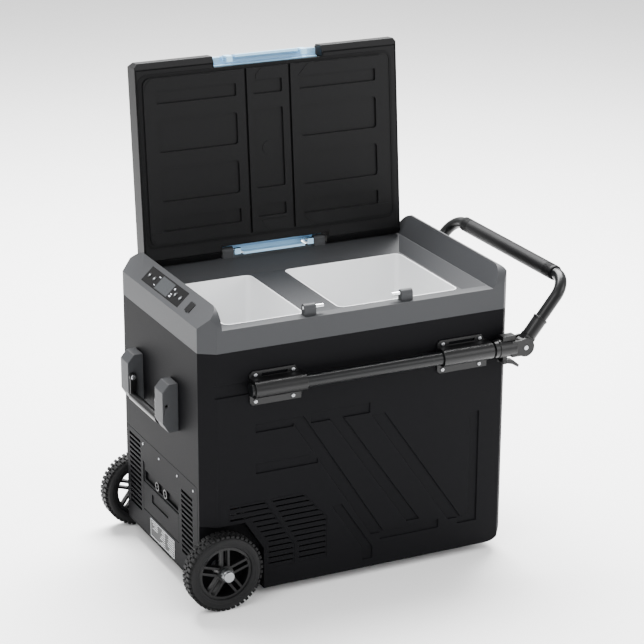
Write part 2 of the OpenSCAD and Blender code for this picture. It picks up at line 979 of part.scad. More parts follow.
module carry_bar() {
    arm = 6;
    bar = 18;
    inner = [carry_y[0] + carry_width + 0.5, carry_y[1] - 0.5];
    color([0.12, 0.12, 0.13]) {
        for (y = [inner[0], inner[1] - arm]) difference() {
            along_y(y, arm) {
                translate(carry_pivot) circle(8);
                translate([carry_pivot.x - 7, carry_pivot.y - carry_drop]) square([14, carry_drop]);
                translate([carry_pivot.x, carry_pivot.y - carry_drop]) circle(d = bar);
            }
            along_y(y - cut, arm + 2 * cut) translate(carry_pivot) circle(d = 6 + 2 * play);
        }
        along_y(inner[0], inner[1] - inner[0]) translate([carry_pivot.x, carry_pivot.y - carry_drop])
            circle(d = bar);
    }
}

// ---------- fasteners ----------

module pan_screw(head, shank, length) {
    cylinder(d = head, h = 2.5);
    translate([0, 0, -length]) cylinder(d = shank, h = length);
}

module screws() {
    color([0.35, 0.35, 0.36]) {
        both_sides() for (i = [0, 1], x = bracket_screws(bracket_x[i], bracket_length[i]),
            z = bracket_screw_z) translate([x, -flange, z]) rotate([90, 0, 0]) pan_screw(10, 5, flange);
        for (y = [50, 133, 230, 318]) translate([0, y, screw_row]) rotate([0, -90, 0])
            cylinder(r = screw_head, h = 1.6);
        for (side = [[carry_y[0] + carry_width, 1], [carry_y[1], -1]])
            translate([carry_pivot.x, side[0] + side[1] * 6.8, carry_pivot.y])
                rotate([-90 * side[1], 0, 0]) pan_screw(11, 6, 24);
    }
}

// ---------- feet and wheels ----------

module feet() {
    color([0.05, 0.05, 0.05]) for (y = [50, body_depth - 50]) translate([590, y, 0])
        rotate_extrude() polygon([[0, 0], [16, 0], [20, 4], [20, ground_clearance], [0, ground_clearance]]);
}

wheel_back = wheel_proud - wheel_width;
tyre_inner = 56;
hub_r = 17;

// Puts a piece on the front axle: z out of the wheel's face
module on_axle() {
    translate([wheel_x, -wheel_proud, wheel_diameter / 2]) rotate([90, 0, 0]) children();
}

module front_tyre() {
    r = wheel_diameter / 2;
    tread = 5;
    block = 13;
    color([0.05, 0.05, 0.05]) on_axle() translate([0, 0, -wheel_width]) {
        rotate_extrude($fn = 96) polygon([
            [tyre_inner, 3], [r - 12, 0], [r - tread, 6], [r - tread, wheel_width - 6],
            [r - 12, wheel_width], [tyre_inner, wheel_width - 3]
        ]);
        for (i = [0 : tread_blocks - 1]) rotate([0, 0, i * 360 / tread_blocks])
            translate([r - tread - 2, -block / 2, 5]) intersection() {
                cube([tread + 2, block, wheel_width - 10]);
                translate([tread + 2 - r, block / 2, -cut]) cylinder(r = r, h = wheel_width, $fn = 96);
            }
    }
}

module front_rim() {
    depth = 26;
    color([0.12, 0.12, 0.13]) on_axle() translate([0, 0, -wheel_width + 6]) difference() {
        union() {
            ring(tyre_inner, tyre_inner - 6, depth);
            cylinder(r = hub_r, h = depth + 2);
            for (i = [0 : 4], side = [-7, 7]) rotate([0, 0, 90 + i * 72])
                translate([10, side - 2.5, depth - 12]) cube([tyre_inner - 13, 5, 12]);
        }
        translate([0, 0, -cut]) cylinder(d = axle_diameter + 2 * fit, h = depth + 10);
    }
}

module front_hub_cap() {
    color([0.8, 0.8, 0.81]) on_axle() translate([0, 0, -4]) {
        difference() {
            cylinder(r = 13, h = 14);
            translate([0, 0, -cut]) cylinder(r = 8, h = 9);
        }
        translate([0, 0, 14]) cylinder(r = 11, h = 5);
    }
}

module rear_tyre() {
    rear_side() front_tyre();
}

module rear_rim() {
    rear_side() front_rim();
}

module rear_hub_cap() {
    rear_side() front_hub_cap();
}

module axle_stubs() {
    wall_face = arch_depth + arch_wall;
    color([0.7, 0.7, 0.72]) both_sides() on_axle() {
        translate([0, 0, -wheel_proud - wall_face - 6]) cylinder(r = 18, h = 6);
        translate([0, 0, -wheel_proud - wall_face]) cylinder(d = axle_diameter, h = wheel_proud + wall_face);
        translate([0, 0, -wheel_proud - arch_depth]) ring(10, axle_diameter / 2, 12);
    }
}

// ---------- lid, drawn shut and then opened ----------

lid_right_low = 641;
lid_right_high = 661;
notch_x = (lug_x[0] + lug_x[1] + lug_width) / 2 - notch_length / 2;

// The lid's block: its end view, its side view and its plan, each drawn in by a wall
module lid_block(wall = 0) {
    corner = [22, 38];
    bevel = [12.5, 7.5];
    y0 = lid_inset + wall;
    y1 = body_depth - lid_inset - wall;
    top = lid_top - wall;
    slope = (lid_right_high - lid_right_low) / lid_thickness;
    intersection() {
        along_y(y0, y1 - y0) polygon([
            [lid_left + wall, lid_bottom], [lid_right_low - wall * 1.1, lid_bottom],
            [lid_right_high - wall * (1.1 + slope), top], [lid_left + wall, top]
        ]);
        along_x(lid_left - cut, body_length) polygon([
            [y0 + bevel.x, lid_bottom], [y0, lid_bottom + bevel.y], [y0, top - 10], [y0 + 10, top],
            [y1 - 10, top], [y1, top - 10], [y1, lid_bottom + bevel.y], [y1 - bevel.x, lid_bottom]
        ]);
        translate([0, 0, lid_bottom - cut]) linear_extrude(lid_thickness + 2 * cut) polygon([
            [lid_left + wall, y0 + 8], [lid_left + wall + 8, y0],
            [lid_right_high - corner.x - wall, y0], [lid_right_high - wall, y0 + corner.y],
            [lid_right_high - wall, y1 - corner.y], [lid_right_high - corner.x - wall, y1],
            [lid_left + wall + 8, y1], [lid_left + wall, y1 - 8]
        ]);
    }
}

module notches(grow) {
    both_sides() translate([notch_x - grow, lid_inset - cut, lid_bottom - cut])
        cube([notch_length + 2 * grow, notch_depth + cut + grow, lid_thickness + 2 * cut]);
}

lid_skin = 3;

module lid_shell() {
    color([0.12, 0.12, 0.13]) lid_pose() difference() {
        lid_block();
        difference() {
            translate([0, 0, -cut]) lid_block(lid_skin);
            notches(lid_skin);
        }
        difference() {
            lid_block(lid_skin);
            notches(lid_skin);
        }
        notches(0);
    }
}

plate_x = [61, 616];
plate_y = [35, 382];
plate_height = 4;
pad_height = 0.8;
groove_x = [285.5, 385.5];
wing_x = [[89, 266], [410, 588]];
centre_x = [304, 370];
band_y = [[63, 89], [326, 355]];
recess_y = [[123, 190], [224, 293]];

// A raised pad with slanted outer corners, from its near edge out to its far edge
module lid_pad(x0, x1, near, far, left, right) {
    side = sign(near - far);
    drop = plate_height + pad_height;
    translate([0, 0, lid_bottom - drop]) linear_extrude(drop) polygon([
        [x0, near], [x0, far + side * left], [x0 + left, far],
        [x1 - right, far], [x1, far + side * right], [x1, near]
    ]);
}

module lid_recess(x, y, corner) {
    translate([x[0], y[0], lid_bottom - plate_height - cut])
        rounded_box([x[1] - x[0], y[1] - y[0], plate_height + cut], corner);
}

module lid_liner() {
    sheet = 3;
    groove = 5;
    color([0.1, 0.1, 0.11]) lid_pose() {
        difference() {
            union() {
                intersection() {
                    lid_block(lid_skin + 0.2);
                    translate([0, 0, lid_bottom]) cube([body_length, body_depth, sheet]);
                }
                translate([plate_x[0], plate_y[0], lid_bottom - plate_height]) rounded_box(
                    [plate_x[1] - plate_x[0], plate_y[1] - plate_y[0], plate_height + 1], 16);
                lid_pad(65, 261, 61, 37, 12, 22);
                lid_pad(65, 262, 357, 380, 12, 20);
                lid_pad(409, 612, 61, 37, 22, 12);
                lid_pad(412, 612, 357, 380, 20, 12);
                lid_pad(311, 363, 60, 37, 12, 12);
                lid_pad(314, 366, 357, 380, 15, 15);
            }
            notches(lid_skin + 0.2);
            for (x = groove_x) translate([x, plate_y[0] - cut, lid_bottom - plate_height - 4])
                cube([groove, plate_y[1] - plate_y[0] + 2 * cut, plate_height + 5]);
            for (x = wing_x, y = band_y) lid_recess(x, y, 3);
            for (x = wing_x, y = recess_y) lid_recess(x, y, 7);
            for (y = [[61, 90], [325, 350]]) lid_recess(centre_x, y, 3);
            lid_recess(centre_x, [122, 289], 3);
        }
        translate([337, 206, lid_bottom - 0.7]) cylinder(r = 15, h = 1.5);
    }
}

module lid_foam() {
    color([0.86, 0.82, 0.6]) lid_pose() intersection() {
        difference() {
            lid_block(lid_skin + 0.5);
            notches(lid_skin + 0.5);
        }
        translate([0, 0, lid_bottom + 5]) cube([body_length, body_depth, lid_thickness]);
    }
}

module lid_gasket() {
    x = [51, 628];
    y = [27, 391];
    width = 5;
    color([0.06, 0.06, 0.06]) lid_pose() translate([x[0], y[0], lid_bottom - 0.9]) difference() {
        rounded_box([x[1] - x[0], y[1] - y[0], 0.9], 20);
        translate([width, width, -cut])
            rounded_box([x[1] - x[0] - 2 * width, y[1] - y[0] - 2 * width, 5], 15);
    }
}

base_x = notch_x + 3;
base_length = notch_length - 6;
hook_x = [252, 422];
hook_width = 13;
latch_axis = [1, 17];

// Extrudes an outline drawn around the front pin (outward, up) along X
module at_pin(x, length) {
    translate([x, pin_inset, pin_height]) rotate([90, 0, 90]) linear_extrude(length)
        mirror([1, 0]) children();
}

module latch_base() {
    wall = 3;
    back = notch_depth + lid_inset - pin_inset;
    top = lid_top - pin_height - 3;
    at_pin(base_x, base_length) polygon([
        [-back, 3], [-back, top], [6, top], [6, top - wall], [wall - back, top - wall],
        [wall - back, 3]
    ]);
    for (x = [base_x, base_x + base_length - 22]) at_pin(x, 22)
        polygon([[1 - back, 11], [1 - back, 14], [6, 14], [6, 11]]);
}

module latch_bases() {
    color([0.7, 0.8, 0.88]) lid_pose() both_sides() latch_base();
}

module latch_lever() {
    paddle = [272, 415];
    axis = latch_axis;
    for (x = hook_x) at_pin(x, hook_width) {
        polygon([
            [-3, -9], [-3, -5.5], [5.5, -5.5], [5.5, 9], [axis.x - 3, 13], [axis.x - 3, axis.y],
            [axis.x + 3, axis.y + 2], [9, 15], [9, -9]
        ]);
        translate(axis) circle(3);
    }
    at_pin(hook_x[0], hook_x[1] + hook_width - hook_x[0]) translate(axis) circle(3);
    at_pin(paddle[0], paddle[1] - paddle[0])
        polygon([[axis.x - 2, axis.y - 2], [axis.x + 2, axis.y + 2], [9, 12], [11, -2], [11, -8], [6, -8], [6, 9]]);
}

module front_latch() {
    color([0.72, 0.82, 0.9]) lid_pose() latch_lever();
}

module rear_latch() {
    color([0.72, 0.82, 0.9]) lid_pose() rear_side() latch_lever();
}

placed() outer_shell();
placed() end_cap();
placed() top_frame();
placed() left_liner();
placed() right_liner();
placed() insulation();
placed() evaporator();
placed() compressor_tray();
placed() compressor();
placed() condenser();
placed() fan_shroud();
placed() fan_rotor();
placed() control_board();
placed() battery_tray();
placed() battery_pack();
placed() left_cover();
placed() socket_panel();
placed() power_sockets();
placed() battery_door();
placed() rating_plate();
placed() screws();
placed() side_grilles();
placed() display_window();
placed() display_board();
placed() power_button();
placed() mode_button();
placed() up_button();
placed() down_button();
placed() usb_socket();
placed() usb_flap();
placed() front_rail_brackets();
placed() rear_rail_brackets();
placed() front_slide_tube();
placed() rear_slide_tube();
placed() front_elbow();
placed() rear_elbow();
placed() elbow_pins();
placed() front_release_lever();
placed() rear_release_lever();
placed() arm_joints();
placed() handle_tube();
placed() grip_sleeve();
placed() carry_brackets();
placed() carry_bar();
placed() feet();
placed() axle_stubs();
placed() front_tyre();
placed() front_rim();
placed() front_hub_cap();
placed() rear_tyre();
placed() rear_rim();
placed() rear_hub_cap();
placed() lid_shell();
placed() lid_liner();
placed() lid_foam();
placed() lid_gasket();
placed() latch_bases();
placed() front_latch();
placed() rear_latch();
placed() latch_pins();
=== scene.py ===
# %% [markdown]
# # A compressor cooler fridge on wheels
# The engineering model is loaded first and stays fixed. Every piece made here sits on it, in
# metres, in the same frame: X along the length towards the pull handle, Y from the front to
# the rear, Z up. The sizes in the cells are millimetres, because moulders think in them.

# %% The frame
import json
import math
import random

import bmesh
import bpy
from mathutils import Matrix, Vector
from mathutils.bvhtree import BVHTree

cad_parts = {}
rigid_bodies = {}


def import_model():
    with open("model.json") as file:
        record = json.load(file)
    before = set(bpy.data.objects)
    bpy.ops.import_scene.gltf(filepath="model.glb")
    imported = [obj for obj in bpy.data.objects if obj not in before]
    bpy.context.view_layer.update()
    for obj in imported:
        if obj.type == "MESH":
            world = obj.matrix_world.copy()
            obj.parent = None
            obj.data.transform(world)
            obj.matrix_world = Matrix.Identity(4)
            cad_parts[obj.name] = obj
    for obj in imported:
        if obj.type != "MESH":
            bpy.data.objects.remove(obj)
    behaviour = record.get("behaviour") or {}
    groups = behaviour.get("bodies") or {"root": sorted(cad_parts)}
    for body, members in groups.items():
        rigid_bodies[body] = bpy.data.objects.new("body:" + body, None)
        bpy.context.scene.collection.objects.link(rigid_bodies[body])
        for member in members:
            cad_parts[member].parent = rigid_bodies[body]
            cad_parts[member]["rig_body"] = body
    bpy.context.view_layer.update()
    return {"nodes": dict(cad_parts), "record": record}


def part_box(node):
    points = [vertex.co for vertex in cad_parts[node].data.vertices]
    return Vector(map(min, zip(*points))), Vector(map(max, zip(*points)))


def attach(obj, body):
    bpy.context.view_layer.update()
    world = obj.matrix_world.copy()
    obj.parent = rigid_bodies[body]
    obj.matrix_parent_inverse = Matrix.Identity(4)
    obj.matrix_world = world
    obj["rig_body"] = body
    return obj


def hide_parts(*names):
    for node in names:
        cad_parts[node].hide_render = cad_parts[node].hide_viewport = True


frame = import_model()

MM = 0.001
nodes = frame["nodes"]
slot_of = {part["node"]: part["material_slot"] for part in frame["record"]["subparts"]}

# %% [markdown]
# ## Where things are
# Drawings of the body measure from its left end, its front face and the floor. One helper
# turns those numbers into the frame's metres. Its shift along the length is read from the
# shell's own box, so it can't drift from the engineering model; the depth's middle is given.

# %% Places in millimetres
shell_low, shell_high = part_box("outer_shell")
MIDDLE_Y = 217.0


def place(x, y, z):
    """A point given from the left end, the front face and the floor, in millimetres."""
    return Vector((shell_low.x + x * MM, (y - MIDDLE_Y) * MM, z * MM))


print("left end at", round(shell_low.x, 5), "right end at", round(shell_high.x, 5))

# %% [markdown]
# ## The camera
# A long lens from far off keeps the sides of the box nearly parallel, as in a catalogue. The
# camera's axes are written out from its azimuth, elevation and a small roll, instead of aiming
# it with a constraint, so the view is exact.

# %% Camera
CAMERA_AZIMUTH = math.radians(-25.96)
CAMERA_ELEVATION = math.radians(19.57)
CAMERA_ROLL = math.radians(0.304)
CAMERA_PLACE = place(-1599.5, -3813.8, 2076.5)
LENS_MM, SENSOR_MM = 128.46, 36


def camera_axes(azimuth, elevation, roll):
    """The camera's right, up and back directions as the columns of a matrix."""
    back = Vector((math.sin(azimuth) * math.cos(elevation),
                   -math.cos(azimuth) * math.cos(elevation), math.sin(elevation)))
    right = Vector((math.cos(azimuth), math.sin(azimuth), 0))
    up = back.cross(right)
    x_axis = math.cos(roll) * right + math.sin(roll) * up
    y_axis = math.cos(roll) * up - math.sin(roll) * right
    return Matrix((x_axis, y_axis, back)).transposed().to_4x4()


camera_data = bpy.data.cameras.new("studio_camera")
camera_data.lens = LENS_MM
camera_data.sensor_width = SENSOR_MM
camera_data.clip_end = 100
camera = bpy.data.objects.new("studio_camera", camera_data)
camera.matrix_world = (Matrix.Translation(CAMERA_PLACE)
                       @ camera_axes(CAMERA_AZIMUTH, CAMERA_ELEVATION, CAMERA_ROLL))
bpy.context.collection.objects.link(camera)
bpy.context.scene.camera = camera
print("lens", camera_data.lens, "mm")

# %% [markdown]
# ## Colour and nodes
# Colours are picked as sRGB hex values, but shaders work in linear light, so one function
# converts them. Another adds a node, sets its values and plugs in its links in one call, which
# keeps each material short enough to read as a recipe.

# %% Material helpers
def linear(code):
    """The linear value of an sRGB hex code. The curve is straight near black, then a power."""
    channels = [int(code[i:i + 2], 16) / 255 for i in (1, 3, 5)]
    return [c / 12.92 if c <= 0.04045 else ((c + 0.055) / 1.055) ** 2.4 for c in channels] + [1]


def shade(colour, factor):
    """A lighter or darker tone of a linear colour."""
    return [min(1, channel * factor) for channel in colour[:3]] + [1]


def add_node(tree, kind, settings=None, values=None):
    """Adds a node. values holds sockets: a number or colour is set, a socket is linked."""
    node = tree.nodes.new(kind)
    for name, setting in (settings or {}).items():
        setattr(node, name, setting)
    for name, value in (values or {}).items():
        if isinstance(value, bpy.types.NodeSocket):
            tree.links.new(value, node.inputs[name])
        else:
            node.inputs[name].default_value = value
    return node


def new_material(name):
    """An empty material: itself, its tree, its shader and the object coordinates."""
    material = bpy.data.materials.new(name)
    material.use_nodes = True
    tree = material.node_tree
    tree.nodes.clear()
    surface = add_node(tree, "ShaderNodeBsdfPrincipled")
    add_node(tree, "ShaderNodeOutputMaterial", values={"Surface": surface.outputs[0]})
    return material, tree, surface, add_node(tree, "ShaderNodeTexCoord").outputs["Object"]


print("white is", [round(channel, 3) for channel in linear("#FFFFFF")])

# %% [markdown]
# ## Moulded plastic
# Most of the fridge is injection moulded ABS and nylon. The mould is spark eroded, which leaves
# a fine even grain that breaks up reflections. Real grain is about 0.1 to 0.3 mm; here it is
# drawn two or three millimetres across, because finer grain would vanish at this distance.
# A broad, faint colour change stands for the flow of the melt and for handling.

# %% Moulded plastic recipe
FLOW_MM = 160
MOULD_GLOSS_SPREAD = 0.06
MOULD_RELIEF = 0.0005


def moulded(name, code, roughness, grain=2.6, bump=0.12, variation=0.07, coat=0.0,
            specular=0.5):
    """Plastic or paint: grain in millimetres, variation of tone and gloss, relief as bump."""
    material, tree, surface, spot = new_material(name)
    colour = linear(code)
    fine = add_node(tree, "ShaderNodeTexNoise", values={
        "Vector": spot, "Scale": 1000 / grain, "Detail": 2.0, "Roughness": 0.6})
    flow = add_node(tree, "ShaderNodeTexNoise", values={
        "Vector": spot, "Scale": 1000 / FLOW_MM, "Detail": 3.0})
    tint = add_node(tree, "ShaderNodeMix", {"data_type": "RGBA"}, {"Factor": flow.outputs["Fac"]})
    tint.inputs[6].default_value = shade(colour, 1 - variation)
    tint.inputs[7].default_value = shade(colour, 1 + variation)
    gloss = add_node(tree, "ShaderNodeMapRange", values={
        "Value": fine.outputs["Fac"], "To Min": roughness - MOULD_GLOSS_SPREAD,
        "To Max": roughness + MOULD_GLOSS_SPREAD})
    relief = add_node(tree, "ShaderNodeBump", values={
        "Height": fine.outputs["Fac"], "Strength": bump, "Distance": MOULD_RELIEF})
    tree.links.new(tint.outputs[2], surface.inputs["Base Color"])
    tree.links.new(gloss.outputs["Result"], surface.inputs["Roughness"])
    tree.links.new(relief.outputs["Normal"], surface.inputs["Normal"])
    surface.inputs["Coat Weight"].default_value = coat
    surface.inputs["Coat Roughness"].default_value = 0.25
    surface.inputs["IOR"].default_value = 1.5
    surface.inputs["Specular IOR Level"].default_value = specular
    return material


# Charcoal ABS with an even grain: soft highlights, no mirror
shell_abs = moulded("shell_textured_abs", "#0A0A0C", 0.6, specular=0.05)
# The lid is the same ABS from a smoother mould
lid_abs = moulded("lid_textured_abs", "#0A0A0B", 0.46, grain=3.2, bump=0.10, specular=0.12)
# Mid grey ABS, satin
frame_abs = moulded("frame_grey_abs", "#2F3032", 0.55, grain=2.4, bump=0.10,
                    variation=0.04, specular=0.2)
# Glass filled nylon: black, slightly shinier on its rounded edges
black_nylon = moulded("black_glass_filled_nylon", "#09090A", 0.34, grain=2.0, bump=0.10,
                      specular=0.25)
# Vacuum formed liner: white, satin, a little orange peel
liner_plastic = moulded("vacuum_formed_white_liner", "#E9EAEB", 0.34, grain=9.0, bump=0.05,
                        variation=0.02, coat=0.2)
# Pale blue nylon latch
latch_nylon = moulded("latch_blue_nylon", "#98C4E2", 0.30, grain=4.0, bump=0.05,
                      variation=0.04, coat=0.3)
# Keys: darker grey with a matt touch
key_plastic = moulded("key_dark_grey", "#121314", 0.5, grain=1.5, bump=0.05, specular=0.25)
# Rubber grip, feet, mounts and gasket: matt and slightly uneven
soft_rubber = moulded("soft_touch_rubber", "#060607", 0.5, grain=2.0, bump=0.2, specular=0.1)
# Tyres: matt moulded rubber with a dusty bloom
tyre_rubber = moulded("moulded_tyre_rubber", "#070708", 0.6, grain=3.0, bump=0.35,
                      variation=0.15, specular=0.2)
# Polyurethane foam between the walls, coloured near black as painted shade: it stands for the
# dark seen behind the vent slats
rigid_foam = moulded("rigid_foam", "#1E1D1B", 0.9, grain=1.2, bump=0.5, specular=0.2)
print(len(bpy.data.materials), "materials so far")

# %% [markdown]
# ## Metals and powder coat
# The slide tubes and the handle are steel tube with a black powder coat, which melts into a
# slightly rippled film: a clear sheen with "orange peel" a few millimetres across. The hub
# caps and pins are bare metal, where the colour sits in the reflection itself.

# %% Metal recipes
METAL_GLOSS_SPREAD = 0.08
METAL_RELIEF = 0.0003


def metal(name, code, roughness, grain=1.5, bump=0.05, stretch=(1, 1, 1)):
    """Bare metal. stretch pulls the grain out along the direction it was drawn in."""
    material, tree, surface, spot = new_material(name)
    along = add_node(tree, "ShaderNodeMapping", values={"Vector": spot, "Scale": stretch})
    fine = add_node(tree, "ShaderNodeTexNoise", values={
        "Vector": along.outputs[0], "Scale": 1000 / grain, "Detail": 3.0})
    gloss = add_node(tree, "ShaderNodeMapRange", values={
        "Value": fine.outputs["Fac"], "To Min": roughness - METAL_GLOSS_SPREAD,
        "To Max": roughness + METAL_GLOSS_SPREAD})
    relief = add_node(tree, "ShaderNodeBump", values={
        "Height": fine.outputs["Fac"], "Strength": bump, "Distance": METAL_RELIEF})
    surface.inputs["Base Color"].default_value = linear(code)
    surface.inputs["Metallic"].default_value = 1.0
    tree.links.new(gloss.outputs["Result"], surface.inputs["Roughness"])
    tree.links.new(relief.outputs["Normal"], surface.inputs["Normal"])
    return material


powder_coat = moulded("black_powder_coat", "#090A0B", 0.3, grain=3.5, bump=0.12,
                      variation=0.05, specular=0.22)
hub_metal = metal("satin_chromed_cap", "#8E9092", 0.34)
pin_metal = metal("polished_steel_pin", "#DCDDDF", 0.14)
zinc_steel = metal("zinc_plated_steel", "#A8A9AC", 0.38, grain=2.5, bump=0.12)
drawn_copper = metal("drawn_copper_tube", "#B07A58", 0.3, grain=2.0, stretch=(1, 1, 0.1))
print("powder coat is", powder_coat.name)

# %% [markdown]
# ## The control window, the circuit board and the label
# The window is polished black acrylic, so almost all of its look is reflection. The board is
# green solder resist over copper tracks, drawn with a brick pattern in object coordinates. The
# label is a printed film: a dark sheet, whose rows of print are made as geometry further down.

# %% Window, board, label and lamp recipes
window_acrylic = moulded("polished_black_acrylic", "#040405", 0.16, grain=60.0, bump=0.0,
                         variation=0.02, specular=0.12)
printed_film = moulded("printed_label_film", "#141517", 0.45, grain=5.0, bump=0.02,
                       variation=0.03, specular=0.2)
print_white = moulded("white_print", "#D4D6D8", 0.5, grain=3.0, bump=0.0, variation=0.02)
screen_glass = moulded("display_grey_glass", "#24272A", 0.18, grain=30.0, bump=0.0,
                       variation=0.05)


TRACK_MM = 30


def circuit_board(name):
    material, tree, surface, spot = new_material(name)
    tracks = add_node(tree, "ShaderNodeTexBrick", values={
        "Vector": spot, "Scale": 1000 / TRACK_MM, "Mortar Size": 0.04,
        "Color1": linear("#1E5A36"), "Color2": linear("#236640"), "Mortar": linear("#7A7440")})
    tree.links.new(tracks.outputs["Color"], surface.inputs["Base Color"])
    surface.inputs["Roughness"].default_value = 0.35
    return material


def lamp(name, code, strength):
    """A faintly lit print, a little uneven, as a lamp behind ink is."""
    material, tree, surface, spot = new_material(name)
    flicker = add_node(tree, "ShaderNodeTexNoise", values={"Vector": spot, "Scale": 300.0})
    glow = add_node(tree, "ShaderNodeMapRange", values={
        "Value": flicker.outputs["Fac"], "To Min": strength * 0.9, "To Max": strength * 1.1})
    surface.inputs["Base Color"].default_value = linear(code)
    surface.inputs["Emission Color"].default_value = linear(code)
    tree.links.new(glow.outputs["Result"], surface.inputs["Emission Strength"])
    surface.inputs["Roughness"].default_value = 0.4
    return material


board_green = circuit_board("green_solder_resist")
lit_symbol = lamp("lit_white_symbol", "#B9BEC4", 0.25)
finish_of = {
    "black_shell": shell_abs, "grey_plastic": frame_abs, "black_plastic": black_nylon,
    "liner_white": liner_plastic, "foam": rigid_foam, "copper": drawn_copper,
    "zinc_steel": zinc_steel, "black_paint": powder_coat, "circuit": board_green,
    "window_gloss": window_acrylic, "button_grey": key_plastic, "label": printed_film,
    "soft_black": soft_rubber, "tyre_rubber": tyre_rubber, "silver_cap": hub_metal,
    "lid_black": lid_abs, "latch_blue": latch_nylon, "pin_chrome": pin_metal,
}
print(len(finish_of), "slots have a finish")

# %% [markdown]
# ## Softening every edge
# No moulded or pressed edge is sharp: the tool always leaves a radius, and it is this thin
# line of highlight that makes a part look real. The engineering solids have plain edges, so
# each visible one is copied, its triangles are merged back into clean faces, and a Bevel
# modifier rounds every edge that turns by more than 30 degrees. Copying keeps the exact
# size, which remodelling by hand would risk. Where details are closer together than the
# radius, a bevel folds over itself. So the result is measured against the engineered skin,
# and a smaller radius is tried until nothing strays from it.

# %% Softened copies
MERGE = 2e-6
FLAT = math.radians(0.6)
SHARP = math.radians(30)


def link(name, mesh, material=None):
    """A new piece in the scene."""
    piece = bpy.data.objects.new(name, mesh)
    bpy.context.collection.objects.link(piece)
    if material:
        mesh.materials.clear()
        mesh.materials.append(material)
    return piece


def settle(piece):
    """Turns what the modifiers make into the piece's own mesh, and removes them."""
    graph = bpy.context.evaluated_depsgraph_get()
    made = bpy.data.meshes.new_from_object(piece.evaluated_get(graph))
    piece.modifiers.clear()
    piece.data = made
    made.name = piece.name
    return piece


def hand_over(piece, body, slot, *replaced):
    """Says which body carries the piece and hides the nodes it stands for. Its slot is not used.
    """
    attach(piece, body)
    if replaced:
        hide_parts(*replaced)
    return piece


def clean_copy(node):
    """A node's triangles, merged back into flat faces with sharp edges marked."""
    shape = bmesh.new()
    shape.from_mesh(nodes[node].data)
    bmesh.ops.remove_doubles(shape, verts=shape.verts, dist=MERGE)
    bmesh.ops.dissolve_limit(shape, angle_limit=FLAT, verts=shape.verts, edges=shape.edges)
    for face in shape.faces:
        face.smooth = True
    for edge in shape.edges:
        edge.smooth = edge.calc_face_angle(0) < SHARP
    return shape


def rounded(mesh, radius, split, clamp, segments=2):
    """A copy of the mesh with its edges rounded, as a plain mesh."""
    trial = link("trial", mesh.copy())
    if split:
        shape = bmesh.new()
        shape.from_mesh(trial.data)
        bmesh.ops.triangulate(shape, faces=[face for face in shape.faces
                                            if len(face.verts) > 4])
        shape.to_mesh(trial.data)
        shape.free()
    bevel = trial.modifiers.new("edge radius", "BEVEL")
    bevel.width = radius
    bevel.segments = segments
    bevel.limit_method = "ANGLE"
    bevel.angle_limit = SHARP
    bevel.use_clamp_overlap = clamp
    bevel.harden_normals = True
    settle(trial)
    made = trial.data
    bpy.data.objects.remove(trial)
    return made


def follows(mesh, skin, limit):
    """True if no triangle strays from the engineered skin, and few are folded against it."""
    mesh.calc_loop_triangles()
    folded = 0
    for triangle in mesh.loop_triangles:
        corners = [mesh.vertices[i].co for i in triangle.vertices]
        for spot in corners + [sum(corners, Vector()) / 3]:
            _, facing, _, distance = skin.find_nearest(spot)
            if distance > limit:
                return False
        if triangle.normal.dot(facing) < FOLDED:
            folded += triangle.area
    return folded < FOLDED_AREA


def soften(node, radius):
    """Stands a copy with rounded edges in the node's place."""
    shape = clean_copy(node)
    skin = BVHTree.FromBMesh(shape)
    mesh = bpy.data.meshes.new(node + "_finished")
    shape.to_mesh(mesh)
    shape.free()
    used = 0
    for share, split, clamp in TRIES:
        width = radius * share * MM
        made = rounded(mesh, width, split, clamp)
        if follows(made, skin, STRAY * width):
            mesh, used = made, share
            break
    if used < 1:
        print(node, "edge radius", round(radius * used, 2), "mm")
    piece = link(node + "_finished", mesh, finish_of[slot_of[node]])
    return hand_over(piece, nodes[node]["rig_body"], slot_of[node], node)


# Shares of the radius, with and without split faces, to try in turn. The last one lets the
# modifier limit itself
TRIES = [(share, split, False) for share in (1, 0.7, 0.5, 0.35, 0.2) for split in (False, True)]
TRIES += [(1, False, True)]
# A rounded edge lies within this share of its radius from the plain one
STRAY = 0.8
# A triangle is folded if it is turned from the skin by more than this cosine. At the rim of
# a thin wall a few square centimetres are counted by mistake
FOLDED, FOLDED_AREA = -0.3, 1.3e-3

EDGE_RADIUS = {
    "outer_shell": 2.4, "end_cap": 0.8, "top_frame": 1.6, "left_liner": 1.0, "right_liner": 1.0,
    "left_cover": 0.5, "socket_panel": 0.5, "power_sockets": 0.4, "battery_door": 0.6,
    "rating_plate": 0.15, "side_grilles": 0.5, "display_window": 0.3, "usb_socket": 0.4,
    "usb_flap": 0.4, "power_button": 0.4, "mode_button": 0.4, "up_button": 0.4,
    "down_button": 0.4, "front_rail_brackets": 1.0, "rear_rail_brackets": 1.0,
    "front_slide_tube": 0.5, "rear_slide_tube": 0.5, "front_elbow": 1.0, "rear_elbow": 1.0,
    "elbow_pins": 0.8, "front_release_lever": 1.0, "rear_release_lever": 1.0, "arm_joints": 1.0,
    "carry_brackets": 1.6, "carry_bar": 1.5, "feet": 1.0, "front_rim": 0.9, "rear_rim": 0.9,
    "front_hub_cap": 1.4, "rear_hub_cap": 1.4, "lid_shell": 2.0, "lid_liner": 1.3,
    "lid_gasket": 0.3, "latch_bases": 0.7, "front_latch": 0.9, "rear_latch": 0.9,
    "latch_pins": 0.6,
}
for node, radius in EDGE_RADIUS.items():
    soften(node, radius)
print(len(EDGE_RADIUS), "pieces softened")

# %% [markdown]
# ## What stays as engineered
# The compressor, its tray, the coils, the fan, the boards and the battery sit behind the
# covers and only show through the slats. Their shapes are right as they are, so they keep
# their own meshes and only get a finish.

# %% Finishes of the inside
for name, node in nodes.items():
    if name in EDGE_RADIUS:
        continue
    node.data.materials.clear()
    node.data.materials.append(finish_of[slot_of[name]])
print("inside finished")

